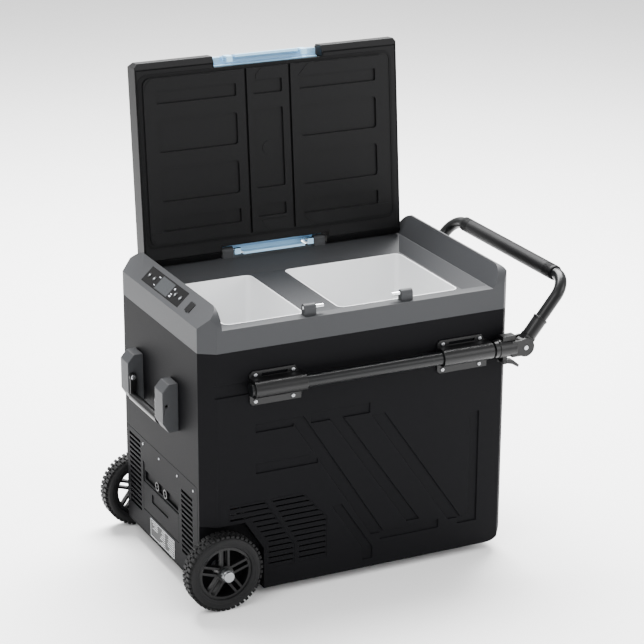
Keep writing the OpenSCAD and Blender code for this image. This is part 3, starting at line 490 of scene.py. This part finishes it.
# %% [markdown]
# ## Geometry Nodes helpers
# Things that repeat or follow a path are made by node trees, so that a size or a count is
# changed in one place. A tree is built with named inputs; a modifier's input is then set by
# the socket's identifier, and the result is turned into a plain mesh.

# %% Tree helpers
def new_tree(name, inputs):
    """A tree with one geometry in and out, and the named inputs."""
    tree = bpy.data.node_groups.new(name, "GeometryNodeTree")
    tree.interface.new_socket("Geometry", in_out="INPUT", socket_type="NodeSocketGeometry")
    tree.interface.new_socket("Geometry", in_out="OUTPUT", socket_type="NodeSocketGeometry")
    for label, kind in inputs.items():
        tree.interface.new_socket(label, in_out="INPUT", socket_type="NodeSocket" + kind)
    return tree, tree.nodes.new("NodeGroupInput").outputs


def close_tree(tree, geometry, material):
    """Ends a tree: copies become real and get their material."""
    real = add_node(tree, "GeometryNodeRealizeInstances", values={"Geometry": geometry})
    painted = add_node(tree, "GeometryNodeSetMaterial",
                       values={"Geometry": real.outputs[0], "Material": material})
    add_node(tree, "NodeGroupOutput", values={"Geometry": painted.outputs[0]})
    return tree


def run_tree(piece, tree, values):
    """Runs the tree on a piece once, and keeps the result as its mesh."""
    modifier = piece.modifiers.new(tree.name, "NODES")
    modifier.node_group = tree
    for item in tree.interface.items_tree:
        if item.in_out == "INPUT" and item.name in values:
            modifier[item.identifier] = values[item.name]
    return settle(piece)


def smooth_mesh(mesh, angle=SHARP):
    """Smooth shading, broken at every edge that turns by more than the angle."""
    shape = bmesh.new()
    shape.from_mesh(mesh)
    for face in shape.faces:
        face.smooth = True
    for edge in shape.edges:
        edge.smooth = edge.calc_face_angle(0) < angle
    shape.to_mesh(mesh)
    shape.free()


print("trees can be built")

# %% [markdown]
# ## The pull handle
# The handle is one bent tube: an arm, a bend, the grip, a bend and the other arm. It is drawn
# as a path of four corners. The tree fillets the corners to the bend radius and sweeps a round
# profile along the path, which is how a tube bender makes it too.

# %% Swept tubes
TILT_AXIS = (703, 458)
ARM_ANGLE = math.radians(51)
ARM, BEND, TUBE, GRIP = 163, 42, 25, 32
ARM_START = 40
RAIL_OFFSET = 20.4
DEPTH = 434
BEND_STEPS, TUBE_SIDES = 14, 32
TUBE_CREASE = math.radians(50)


def on_arm(out, y):
    """A point on the handle's plane, out from the tilt axis."""
    return place(TILT_AXIS[0] + out * math.cos(ARM_ANGLE), y,
                 TILT_AXIS[1] + out * math.sin(ARM_ANGLE))


def tube_tree():
    tree, given = new_tree("bent_tube", {"Radius": "Float", "Bend": "Float",
                                         "Material": "Material"})
    path = add_node(tree, "GeometryNodeMeshToCurve", values={"Mesh": given["Geometry"]})
    bent = add_node(tree, "GeometryNodeFilletCurve", {"mode": "POLY"}, {
        "Curve": path.outputs[0], "Count": BEND_STEPS, "Radius": given["Bend"],
        "Limit Radius": True})
    profile = add_node(tree, "GeometryNodeCurvePrimitiveCircle", values={
        "Resolution": TUBE_SIDES, "Radius": given["Radius"]})
    tube = add_node(tree, "GeometryNodeCurveToMesh", values={
        "Curve": bent.outputs[0], "Profile Curve": profile.outputs[0], "Fill Caps": True})
    return close_tree(tree, tube.outputs[0], given["Material"])


def swept(name, points, radius, bend, material, tree):
    mesh = bpy.data.meshes.new(name)
    mesh.from_pydata(points, [(i, i + 1) for i in range(len(points) - 1)], [])
    piece = run_tree(link(name, mesh), tree, {
        "Radius": radius * MM, "Bend": bend * MM, "Material": material})
    smooth_mesh(piece.data, TUBE_CREASE)
    return piece


bent_tube = tube_tree()
near, far = -RAIL_OFFSET, DEPTH + RAIL_OFFSET
handle_path = [on_arm(ARM_START, near), on_arm(ARM, near), on_arm(ARM, far),
               on_arm(ARM_START, far)]
tube = swept("pull_handle_tube", handle_path, TUBE / 2, BEND, powder_coat, bent_tube)
hand_over(tube, "handle", "black_paint", "handle_tube")
print("tube", len(tube.data.polygons), "faces")

# %% [markdown]
# The grip is a foam rubber sleeve over the straight part. Its ends are rounded over, so it is
# turned from an outline, like a piece on a lathe, and laid along the tube.

# %% Grip and lathe helper
SPECK = 1e-12


def lathe(name, outline, axis_place, axis, material, steps=64):
    """Turns (radius, height) points about an axis, and closes the solid where they touch it."""
    shape = bmesh.new()
    ring = [shape.verts.new((radius * MM, 0, height * MM)) for radius, height in outline]
    edges = [shape.edges.new((ring[i], ring[(i + 1) % len(ring)])) for i in range(len(ring))]
    bmesh.ops.spin(shape, geom=ring + edges, cent=(0, 0, 0), axis=(0, 0, 1),
                   angle=math.tau, steps=steps, use_merge=True)
    bmesh.ops.remove_doubles(shape, verts=shape.verts, dist=MERGE)
    bmesh.ops.dissolve_degenerate(shape, edges=shape.edges, dist=MERGE)
    loose = [face for face in shape.faces if face.calc_area() < SPECK]
    bmesh.ops.delete(shape, geom=loose, context="FACES")
    turn = Vector((0, 0, 1)).rotation_difference(Vector(axis)).to_matrix().to_4x4()
    shape.transform(Matrix.Translation(axis_place) @ turn)
    bmesh.ops.recalc_face_normals(shape, faces=shape.faces)
    mesh = bpy.data.meshes.new(name)
    shape.to_mesh(mesh)
    shape.free()
    smooth_mesh(mesh)
    return link(name, mesh, material)


BEND_GAP = 4
GRIP_PLAY = 0.05
RIDGES, RIDGE_START, RIDGE_PITCH, RIDGE_DEEP, RIDGE_HALF = 8, 6, 3.2, 0.7, 0.8

grip_from = BEND - RAIL_OFFSET + BEND_GAP
grip_long = DEPTH - 2 * grip_from
inner, outer = TUBE / 2 + GRIP_PLAY, GRIP / 2
grip_outline = [(inner, 0), (outer - 2.4, 0), (outer - 0.9, 0.7), (outer, 2.6)]
for ridge in range(1, RIDGES):
    start = RIDGE_START + ridge * RIDGE_PITCH
    grip_outline += [(outer, start), (outer - RIDGE_DEEP, start + RIDGE_HALF),
                     (outer, start + 2 * RIDGE_HALF)]
mirrored_outline = [(radius, grip_long - height) for radius, height in reversed(grip_outline)]
grip = lathe("pull_handle_grip", grip_outline + mirrored_outline, on_arm(ARM, grip_from),
             (0, 1, 0), soft_rubber)
hand_over(grip, "handle", "soft_black", "grip_sleeve")
print("grip", round(grip_long), "mm long")

# %% [markdown]
# ## The wheels
# A tyre is a turned carcass with blocks of tread. The carcass is lathed. One tread block is
# modelled with chamfered edges, and a tree stands copies of it round a circle. There are three
# rows, and the middle one is turned by half a step, as on real knobbly tyres.

# %% Tread tree
WHEEL_X, WHEEL_Z, WHEEL_R, WHEEL_WIDE, WHEEL_PROUD = 35.5, 81, 81, 38, 31
BLOCKS = 46


def tread_tree():
    tree, given = new_tree("tread_ring", {"Blocks": "Int", "Radius": "Float", "Offset": "Float",
                                          "Lift": "Float", "Material": "Material"})
    circle = add_node(tree, "GeometryNodeMeshCircle", values={
        "Vertices": given["Blocks"], "Radius": given["Radius"]})
    step = add_node(tree, "ShaderNodeMath", {"operation": "DIVIDE"})
    step.inputs[0].default_value = math.tau
    tree.links.new(given["Blocks"], step.inputs[1])
    index = add_node(tree, "GeometryNodeInputIndex")
    angle = add_node(tree, "ShaderNodeMath", {"operation": "MULTIPLY"})
    tree.links.new(index.outputs[0], angle.inputs[0])
    tree.links.new(step.outputs[0], angle.inputs[1])
    turn = add_node(tree, "ShaderNodeCombineXYZ", values={"Z": angle.outputs[0]})
    copies = add_node(tree, "GeometryNodeInstanceOnPoints", values={
        "Points": circle.outputs[0], "Instance": given["Geometry"], "Rotation": turn.outputs[0]})
    shift = add_node(tree, "ShaderNodeMath", {"operation": "MULTIPLY"})
    tree.links.new(step.outputs[0], shift.inputs[0])
    tree.links.new(given["Offset"], shift.inputs[1])
    spin = add_node(tree, "ShaderNodeCombineXYZ", values={"Z": shift.outputs[0]})
    lift = add_node(tree, "ShaderNodeCombineXYZ", values={"Z": given["Lift"]})
    moved = add_node(tree, "GeometryNodeTransform", values={
        "Geometry": copies.outputs[0], "Rotation": spin.outputs[0],
        "Translation": lift.outputs[0]})
    return close_tree(tree, moved.outputs[0], given["Material"])


def chamfered_block(long, wide, deep, chamfer):
    """A tread block: X out from the axle, Y round the tyre, Z across it."""
    shape = bmesh.new()
    bmesh.ops.create_cube(shape, size=1)
    bmesh.ops.scale(shape, vec=(deep * MM, long * MM, wide * MM), verts=shape.verts)
    bmesh.ops.bevel(shape, geom=shape.edges[:], offset=chamfer * MM, segments=1,
                    affect="EDGES")
    mesh = bpy.data.meshes.new("tread_block")
    shape.to_mesh(mesh)
    shape.free()
    return mesh


tread = tread_tree()
print("tread tree has", len(tread.nodes), "nodes")

# %% Tyres
# The outline in (radius, height), from the bead on the inner face to the one on the outer
CARCASS = [(56, 4), (57.6, 2), (61, 1.0), (63, 1.0), (64, 0.3), (70, 0.3), (73.4, 1.8),
           (76, 5), (77.2, 9), (77.8, 13), (77.8, 25), (77.2, 29), (76, 33), (73.4, 36.2),
           (70, 37.7), (64, 37.7), (63, 37), (61, 37), (57.6, 36), (56, 34)]
CARCASS_STEPS = 96
# Each row's middle, the width and length of its blocks and its turn in steps
TREAD_ROWS = ((9.8, 13.0, 7.4, 0.0), (19, 8.0, 6.4, 0.5), (28.2, 13.0, 7.4, 0.0))
BLOCK_DEEP, BLOCK_CHAMFER, BLOCK_SUNK = 5.4, 0.8, 3.0


def join(name, pieces, material):
    """One piece made of several, which are removed."""
    shape = bmesh.new()
    for piece in pieces:
        shape.from_mesh(piece.data)
        bpy.data.objects.remove(piece)
    mesh = bpy.data.meshes.new(name)
    shape.to_mesh(mesh)
    shape.free()
    return link(name, mesh, material)


def wheel_place(y_out, outwards):
    """The wheel's frame: Z points out of its face, at the axle."""
    turn = Vector((0, 0, 1)).rotation_difference(Vector((0, outwards, 0))).to_matrix().to_4x4()
    return Matrix.Translation(place(WHEEL_X, y_out, WHEEL_Z)) @ turn


for side, outwards, inner_y in (("front", -1, WHEEL_WIDE - WHEEL_PROUD),
                                ("rear", 1, DEPTH - WHEEL_WIDE + WHEEL_PROUD)):
    carcass = lathe(side + "_carcass", CARCASS, place(WHEEL_X, inner_y, WHEEL_Z),
                    (0, outwards, 0), tyre_rubber, steps=CARCASS_STEPS)
    rows = []
    for centre, wide, long, offset in TREAD_ROWS:
        block = link("row", chamfered_block(long, wide, BLOCK_DEEP, BLOCK_CHAMFER))
        rows.append(run_tree(block, tread, {
            "Blocks": BLOCKS, "Radius": (WHEEL_R - BLOCK_SUNK) * MM, "Offset": offset,
            "Lift": centre * MM, "Material": tyre_rubber}))
        rows[-1].data.transform(wheel_place(inner_y, outwards))
    tyre = join(side + "_tyre_moulded", [carcass] + rows, tyre_rubber)
    hand_over(tyre, side + "_wheel", "tyre_rubber", side + "_tyre")
    print(side, "tyre", len(tyre.data.polygons), "faces")

# %% [markdown]
# ## Screws
# Pan head screws with a cross recess hold the rail brackets, the left cover and the carry
# handle. One head is modelled with a real recess. Each place is a single vertex that carries
# the turn it needs as an attribute, and a tree puts a head on every one.

# %% One screw head
def screw_head(radius, height):
    """A domed head along +Z with a cross recess, in millimetres."""
    shape = bmesh.new()
    count, arm, half = 24, radius * 0.52, radius * 0.13
    rings = [(radius, 0), (radius, height * 0.45), (radius * 0.9, height * 0.8),
             (radius * 0.68, height)]
    loops = []
    for r, z in rings:
        loops.append([shape.verts.new((r * math.cos(math.tau * i / count) * MM,
                                       r * math.sin(math.tau * i / count) * MM, z * MM))
                      for i in range(count)])
    for low, high in zip(loops, loops[1:]):
        for i in range(count):
            j = (i + 1) % count
            shape.faces.new((low[i], low[j], high[j], high[i]))
    shape.faces.new(list(reversed(loops[0])))
    cross = [(arm, -half), (arm, half), (half, half), (half, arm), (-half, arm), (-half, half),
             (-arm, half), (-arm, -half), (-half, -half), (-half, -arm), (half, -arm),
             (half, -half)]
    top = [shape.verts.new((x * MM, y * MM, height * MM)) for x, y in cross]
    floor = [shape.verts.new((x * 0.7 * MM, y * 0.7 * MM, height * 0.35 * MM))
             for x, y in cross]
    rim_edges = [shape.edges.get((loops[-1][i], loops[-1][(i + 1) % count]))
                 for i in range(count)]
    cross_edges = [shape.edges.new((top[i], top[(i + 1) % 12])) for i in range(12)]
    bmesh.ops.triangle_fill(shape, use_beauty=True, edges=rim_edges + cross_edges)
    for i in range(12):
        j = (i + 1) % 12
        shape.faces.new((top[j], top[i], floor[i], floor[j]))
    shape.faces.new(floor)
    bmesh.ops.recalc_face_normals(shape, faces=shape.faces)
    mesh = bpy.data.meshes.new("screw_head")
    shape.to_mesh(mesh)
    shape.free()
    return mesh


def screw_tree():
    tree, given = new_tree("screw_row", {"Head": "Object", "Material": "Material"})
    head = add_node(tree, "GeometryNodeObjectInfo", values={"Object": given["Head"]})
    turn = add_node(tree, "GeometryNodeInputNamedAttribute", {"data_type": "FLOAT_VECTOR"},
                    {"Name": "turn"})
    copies = add_node(tree, "GeometryNodeInstanceOnPoints", values={
        "Points": given["Geometry"], "Instance": head.outputs["Geometry"],
        "Rotation": turn.outputs[0]})
    return close_tree(tree, copies.outputs[0], given["Material"])


screws_in_rows = screw_tree()
print("screw tree has", len(screws_in_rows.nodes), "nodes")

# %% All the screws on the cabinet
def screw_set(name, places, radius, height, material, seed):
    """places holds (point, direction). Each head is turned to a random angle, as when driven."""
    chance = random.Random(seed)
    mesh = bpy.data.meshes.new(name)
    mesh.from_pydata([point for point, way in places], [], [])
    turns = mesh.attributes.new("turn", "FLOAT_VECTOR", "POINT")
    for i, (point, way) in enumerate(places):
        aim = Vector((0, 0, 1)).rotation_difference(Vector(way))
        spin = Matrix.Rotation(chance.uniform(0, math.tau), 3, "Z")
        turns.data[i].vector = (aim.to_matrix() @ spin).to_euler()
    head = link("head_pattern", screw_head(radius, height))
    piece = run_tree(link(name, mesh), screws_in_rows, {"Head": head, "Material": material})
    bpy.data.objects.remove(head)
    smooth_mesh(piece.data)
    return piece


# Each rail bracket's left end and length, and where its screws sit from its ends
BRACKETS = ((100, 111), (515, 115))
FROM_LEFT, FROM_RIGHT, BRACKET_PLATE = 12, 18, 4
BRACKET_ROWS = (427, 482)
COVER_COLUMNS, COVER_ROW = (50, 133, 230, 318), 236
PIVOT_X, PIVOT_Z, PIVOT_FACES = -25, 395, ((161 + 6.8, 1), (306 - 6.8, -1))

bracket_places = []
for x0, long in BRACKETS:
    for x in (x0 + FROM_LEFT, x0 + long - FROM_RIGHT):
        for z in BRACKET_ROWS:
            bracket_places += [(place(x, -BRACKET_PLATE, z), (0, -1, 0)),
                               (place(x, DEPTH + BRACKET_PLATE, z), (0, 1, 0))]
cover_places = [(place(0, y, COVER_ROW), (-1, 0, 0)) for y in COVER_COLUMNS]
pivot_places = [(place(PIVOT_X, y, PIVOT_Z), (0, way, 0)) for y, way in PIVOT_FACES]
for name, places, radius, height, seed in (
        ("bracket_screws", bracket_places, 3.9, 2.4, 3),
        ("cover_screws", cover_places, 2.6, 1.4, 5),
        ("carry_pivot_screws", pivot_places, 5.5, 2.5, 7)):
    heads = screw_set(name, places, radius, height, zinc_steel, seed)
    hand_over(heads, "cabinet", "zinc_steel", "screws")
    print(name, len(places))

# %% [markdown]
# ## The control panel
# Behind the black window sits a small grey display, and each key carries a generic symbol:
# a ring with a bar for power, an arrow up, an arrow down and two bars for the mode. They are
# thin raised shapes, so they stay crisp from any side.

# %% Places on the slope
# The shoulder rises by this much over this run, from this height at the left end
SLOPE_RISE, SLOPE_RUN, SLOPE_FOOT = 38, 41.4, 586
SLOPE = math.atan2(SLOPE_RISE, SLOPE_RUN)
WINDOW_MIDDLE = 231.5
KEY_X = 28


def on_slope(x, y, z):
    """A point given up the slope, from the front face and out of the slope's surface."""
    return place(x * math.cos(SLOPE) - z * math.sin(SLOPE), y,
                 SLOPE_FOOT + x * math.sin(SLOPE) + z * math.cos(SLOPE))


def plates(name, outlines, low, high, material, where=on_slope):
    """Flat closed plates from outlines of (x, y) corners, between two heights."""
    shape = bmesh.new()
    for outline in outlines:
        bottom = [shape.verts.new(where(x, y, low)) for x, y in outline]
        top = [shape.verts.new(where(x, y, high)) for x, y in outline]
        count = len(outline)
        shape.faces.new(top)
        shape.faces.new(list(reversed(bottom)))
        for i in range(count):
            j = (i + 1) % count
            shape.faces.new((bottom[i], bottom[j], top[j], top[i]))
    bmesh.ops.recalc_face_normals(shape, faces=shape.faces)
    mesh = bpy.data.meshes.new(name)
    shape.to_mesh(mesh)
    shape.free()
    return link(name, mesh, material)


def bar(x0, y0, x1, y1):
    return [(x0, y0), (x1, y0), (x1, y1), (x0, y1)]


def window_bar(x0, y0, x1, y1):
    """A bar whose y runs from the window's middle."""
    return bar(x0, WINDOW_MIDDLE + y0, x1, WINDOW_MIDDLE + y1)


def key_sign(corners):
    """A sign's corners, given from the row of keys and the window's middle."""
    return [(KEY_X + x, WINDOW_MIDDLE + y) for x, y in corners]


def ring_parts(x, y, radius, wide, start, end, count=14):
    """An arc made of short plates, from start to end in degrees."""
    parts = []
    for i in range(count):
        a0 = math.radians(start + (end - start) * i / count)
        a1 = math.radians(start + (end - start) * (i + 1) / count)
        parts.append([(x + r * math.cos(a), y + r * math.sin(a))
                      for r, a in ((radius, a0), (radius, a1), (radius - wide, a1),
                                   (radius - wide, a0))])
    return parts


# What lies under the window's face: outlines, top and finish. All share one depth
UNDER_FACE = -0.22
PRINTS = {
    "display_screen": ([window_bar(13, -31, 43, 31)], -0.08, screen_glass),
    "display_frame_lines": ([window_bar(12, -32, 12.8, 32), window_bar(43.2, -32, 44, 32)],
                            -0.02, key_plastic),
    "window_legends": ([window_bar(17, -44, 20, -36), window_bar(23, -44, 24.4, -36),
                        window_bar(34, -42, 38, -37), window_bar(17, 36, 18.4, 43),
                        window_bar(36, 36, 38, 44)], -0.1, lit_symbol),
}
for name, (outlines, high, material) in PRINTS.items():
    hand_over(plates(name, outlines, UNDER_FACE, high, material), "cabinet", "window_gloss")

# %% Signs on the keys
SIGN_FOOT, SIGN_TOP = 0.75, 0.95
signs = {
    "power_key": ring_parts(KEY_X, WINDOW_MIDDLE - 80, 2.6, 0.6, 40, 320)
    + [key_sign(bar(0, -80.4, 3.6, -79.6))],
    "mode_key": [key_sign(bar(-2.4, -56.6, 2.4, -55.6)), key_sign(bar(-2.4, -54.4, 2.4, -53.4))],
    "up_key": [key_sign([(-2, 52.2), (2.6, 55), (-2, 57.8)])],
    "down_key": [key_sign([(2, 77.2), (-2.6, 80), (2, 82.8)])],
}
for body, outlines in signs.items():
    sign = plates(body + "_sign", outlines, SIGN_FOOT, SIGN_TOP, lit_symbol)
    hand_over(sign, body, "button_grey")
print(len(PRINTS), "prints under the window,", len(signs), "keys signed")

# %% [markdown]
# ## The label
# A rating label always has a border and rows of small print. Real words would belong to a
# maker, so the rows are plain bars of uneven length. A tree lays them out: it stands a bar on
# each point of a column and stretches it by a random amount with a fixed seed.

# %% Rows of print
LABEL_Y, LABEL_Z = (152, 284), (42, 84)
SHORTEST_ROW = 0.45
PRINT_THICK, PRINT_TALL, PRINT_FACE = 0.06, 1.1, -0.6


def print_tree():
    tree, given = new_tree("print_rows", {"Rows": "Int", "Pitch": "Float", "Seed": "Int",
                                          "Material": "Material"})
    offset = add_node(tree, "ShaderNodeCombineXYZ", values={"Z": given["Pitch"]})
    column = add_node(tree, "GeometryNodeMeshLine", {"mode": "OFFSET"}, {
        "Count": given["Rows"], "Offset": offset.outputs[0]})
    length = add_node(tree, "FunctionNodeRandomValue", {"data_type": "FLOAT"})
    length.inputs[2].default_value = SHORTEST_ROW
    length.inputs[3].default_value = 1.0
    tree.links.new(given["Seed"], length.inputs["Seed"])
    stretch = add_node(tree, "ShaderNodeCombineXYZ", values={"X": 1.0, "Y": length.outputs[1],
                                                             "Z": 1.0})
    rows = add_node(tree, "GeometryNodeInstanceOnPoints", values={
        "Points": column.outputs[0], "Instance": given["Geometry"],
        "Scale": stretch.outputs[0]})
    return close_tree(tree, rows.outputs[0], given["Material"])


print_rows = print_tree()


def print_block(name, y, z, long, rows, pitch, seed):
    """A column of print that starts at y and z, with rows up to a length."""
    block = bmesh.new()
    bmesh.ops.create_cube(block, size=1)
    bmesh.ops.scale(block, vec=(PRINT_THICK * MM, long * MM, PRINT_TALL * MM),
                    verts=block.verts)
    bmesh.ops.translate(block, vec=(0, long * MM / 2, 0), verts=block.verts)
    mesh = bpy.data.meshes.new(name)
    block.to_mesh(mesh)
    block.free()
    piece = run_tree(link(name, mesh), print_rows, {
        "Rows": rows, "Pitch": pitch * MM, "Seed": seed, "Material": print_white})
    piece.data.transform(Matrix.Translation(place(PRINT_FACE, y, z)))
    return piece


# %% Print and border
# Each column's start, longest row, number of rows, pitch and seed
COLUMNS = ((158, 48, 34, 7, 5.0, 11), (204, 48, 30, 7, 5.0, 12), (244, 64, 32, 4, 4.5, 13))
BORDER_IN, BORDER_WIDE, BORDER_FOOT, BORDER_TOP = 1.5, 1, -0.57, -0.64


def on_label(y, z, x):
    return place(x, y, z)


label_print = join("label_print", [print_block("column", *sizes) for sizes in COLUMNS],
                   print_white)
hand_over(label_print, "cabinet", "label")
y0, y1 = LABEL_Y[0] + BORDER_IN, LABEL_Y[1] - BORDER_IN
z0, z1 = LABEL_Z[0] + BORDER_IN, LABEL_Z[1] - BORDER_IN
border_bars = [bar(y0, z0, y1, z0 + BORDER_WIDE), bar(y0, z1 - BORDER_WIDE, y1, z1),
               bar(y0, z0, y0 + BORDER_WIDE, z1), bar(y1 - BORDER_WIDE, z0, y1, z1)]
border = plates("label_border", border_bars, BORDER_FOOT, BORDER_TOP, print_white, on_label)
hand_over(border, "cabinet", "label")
print("label", len(label_print.data.polygons), "faces of print")

# %% [markdown]
# ## Floor and light
# A pale floor, a bright even surround and three large soft lamps give the clean catalogue
# light: one over the front left, one of about the same strength at the front right, and a much
# stronger one high behind, which lights the tops and draws a bright line along their edges.
# Large lamps give soft shadows.

# %% Studio
def pale_floor_material():
    material, tree, surface, spot = new_material("pale_studio_floor")
    patch = add_node(tree, "ShaderNodeTexNoise", values={"Vector": spot, "Scale": 1.5})
    tint = add_node(tree, "ShaderNodeMix", {"data_type": "RGBA"},
                    {"Factor": patch.outputs["Fac"]})
    tint.inputs[6].default_value = linear("#F4F4F4")
    tint.inputs[7].default_value = linear("#F8F8F8")
    tree.links.new(tint.outputs[2], surface.inputs["Base Color"])
    surface.inputs["Roughness"].default_value = 0.7
    surface.inputs["Specular IOR Level"].default_value = 0.2
    return material


FLOOR_HALF = 30
FLOOR_DROP = 0.0005
floor_mesh = bpy.data.meshes.new("studio_floor")
floor_mesh.from_pydata([(-FLOOR_HALF, -FLOOR_HALF, 0), (FLOOR_HALF, -FLOOR_HALF, 0),
                        (FLOOR_HALF, FLOOR_HALF, 0), (-FLOOR_HALF, FLOOR_HALF, 0)], [],
                       [(0, 1, 2, 3)])
studio_floor = link("studio_floor", floor_mesh, pale_floor_material())
studio_floor.location.z = -FLOOR_DROP

world = bpy.data.worlds.new("studio_surround")
world.use_nodes = True
surround = world.node_tree.nodes["Background"]
surround.inputs["Color"].default_value = (1, 1, 1, 1)
surround.inputs["Strength"].default_value = 1.25
bpy.context.scene.world = world

# %% Softboxes
AIM = Vector((0, 0, 0.45))


def softbox(name, spot, size, power):
    """A rectangular lamp at a spot, in metres, turned to the middle of the fridge."""
    data = bpy.data.lights.new(name, "AREA")
    data.shape = "RECTANGLE"
    data.size, data.size_y = size
    data.energy = power
    box_light = bpy.data.objects.new(name, data)
    aim = (AIM - Vector(spot)).to_track_quat("-Z", "Y")
    box_light.matrix_world = Matrix.Translation(spot) @ aim.to_matrix().to_4x4()
    bpy.context.collection.objects.link(box_light)


softbox("key_softbox", (-2.6, -1.6, 2.8), (2.2, 1.6), 80)
softbox("fill_softbox", (2.6, -2.6, 1.8), (2.4, 2.0), 90)
softbox("top_softbox", (0.6, 1.6, 3.4), (3.4, 2.0), 900)
print("studio ready")
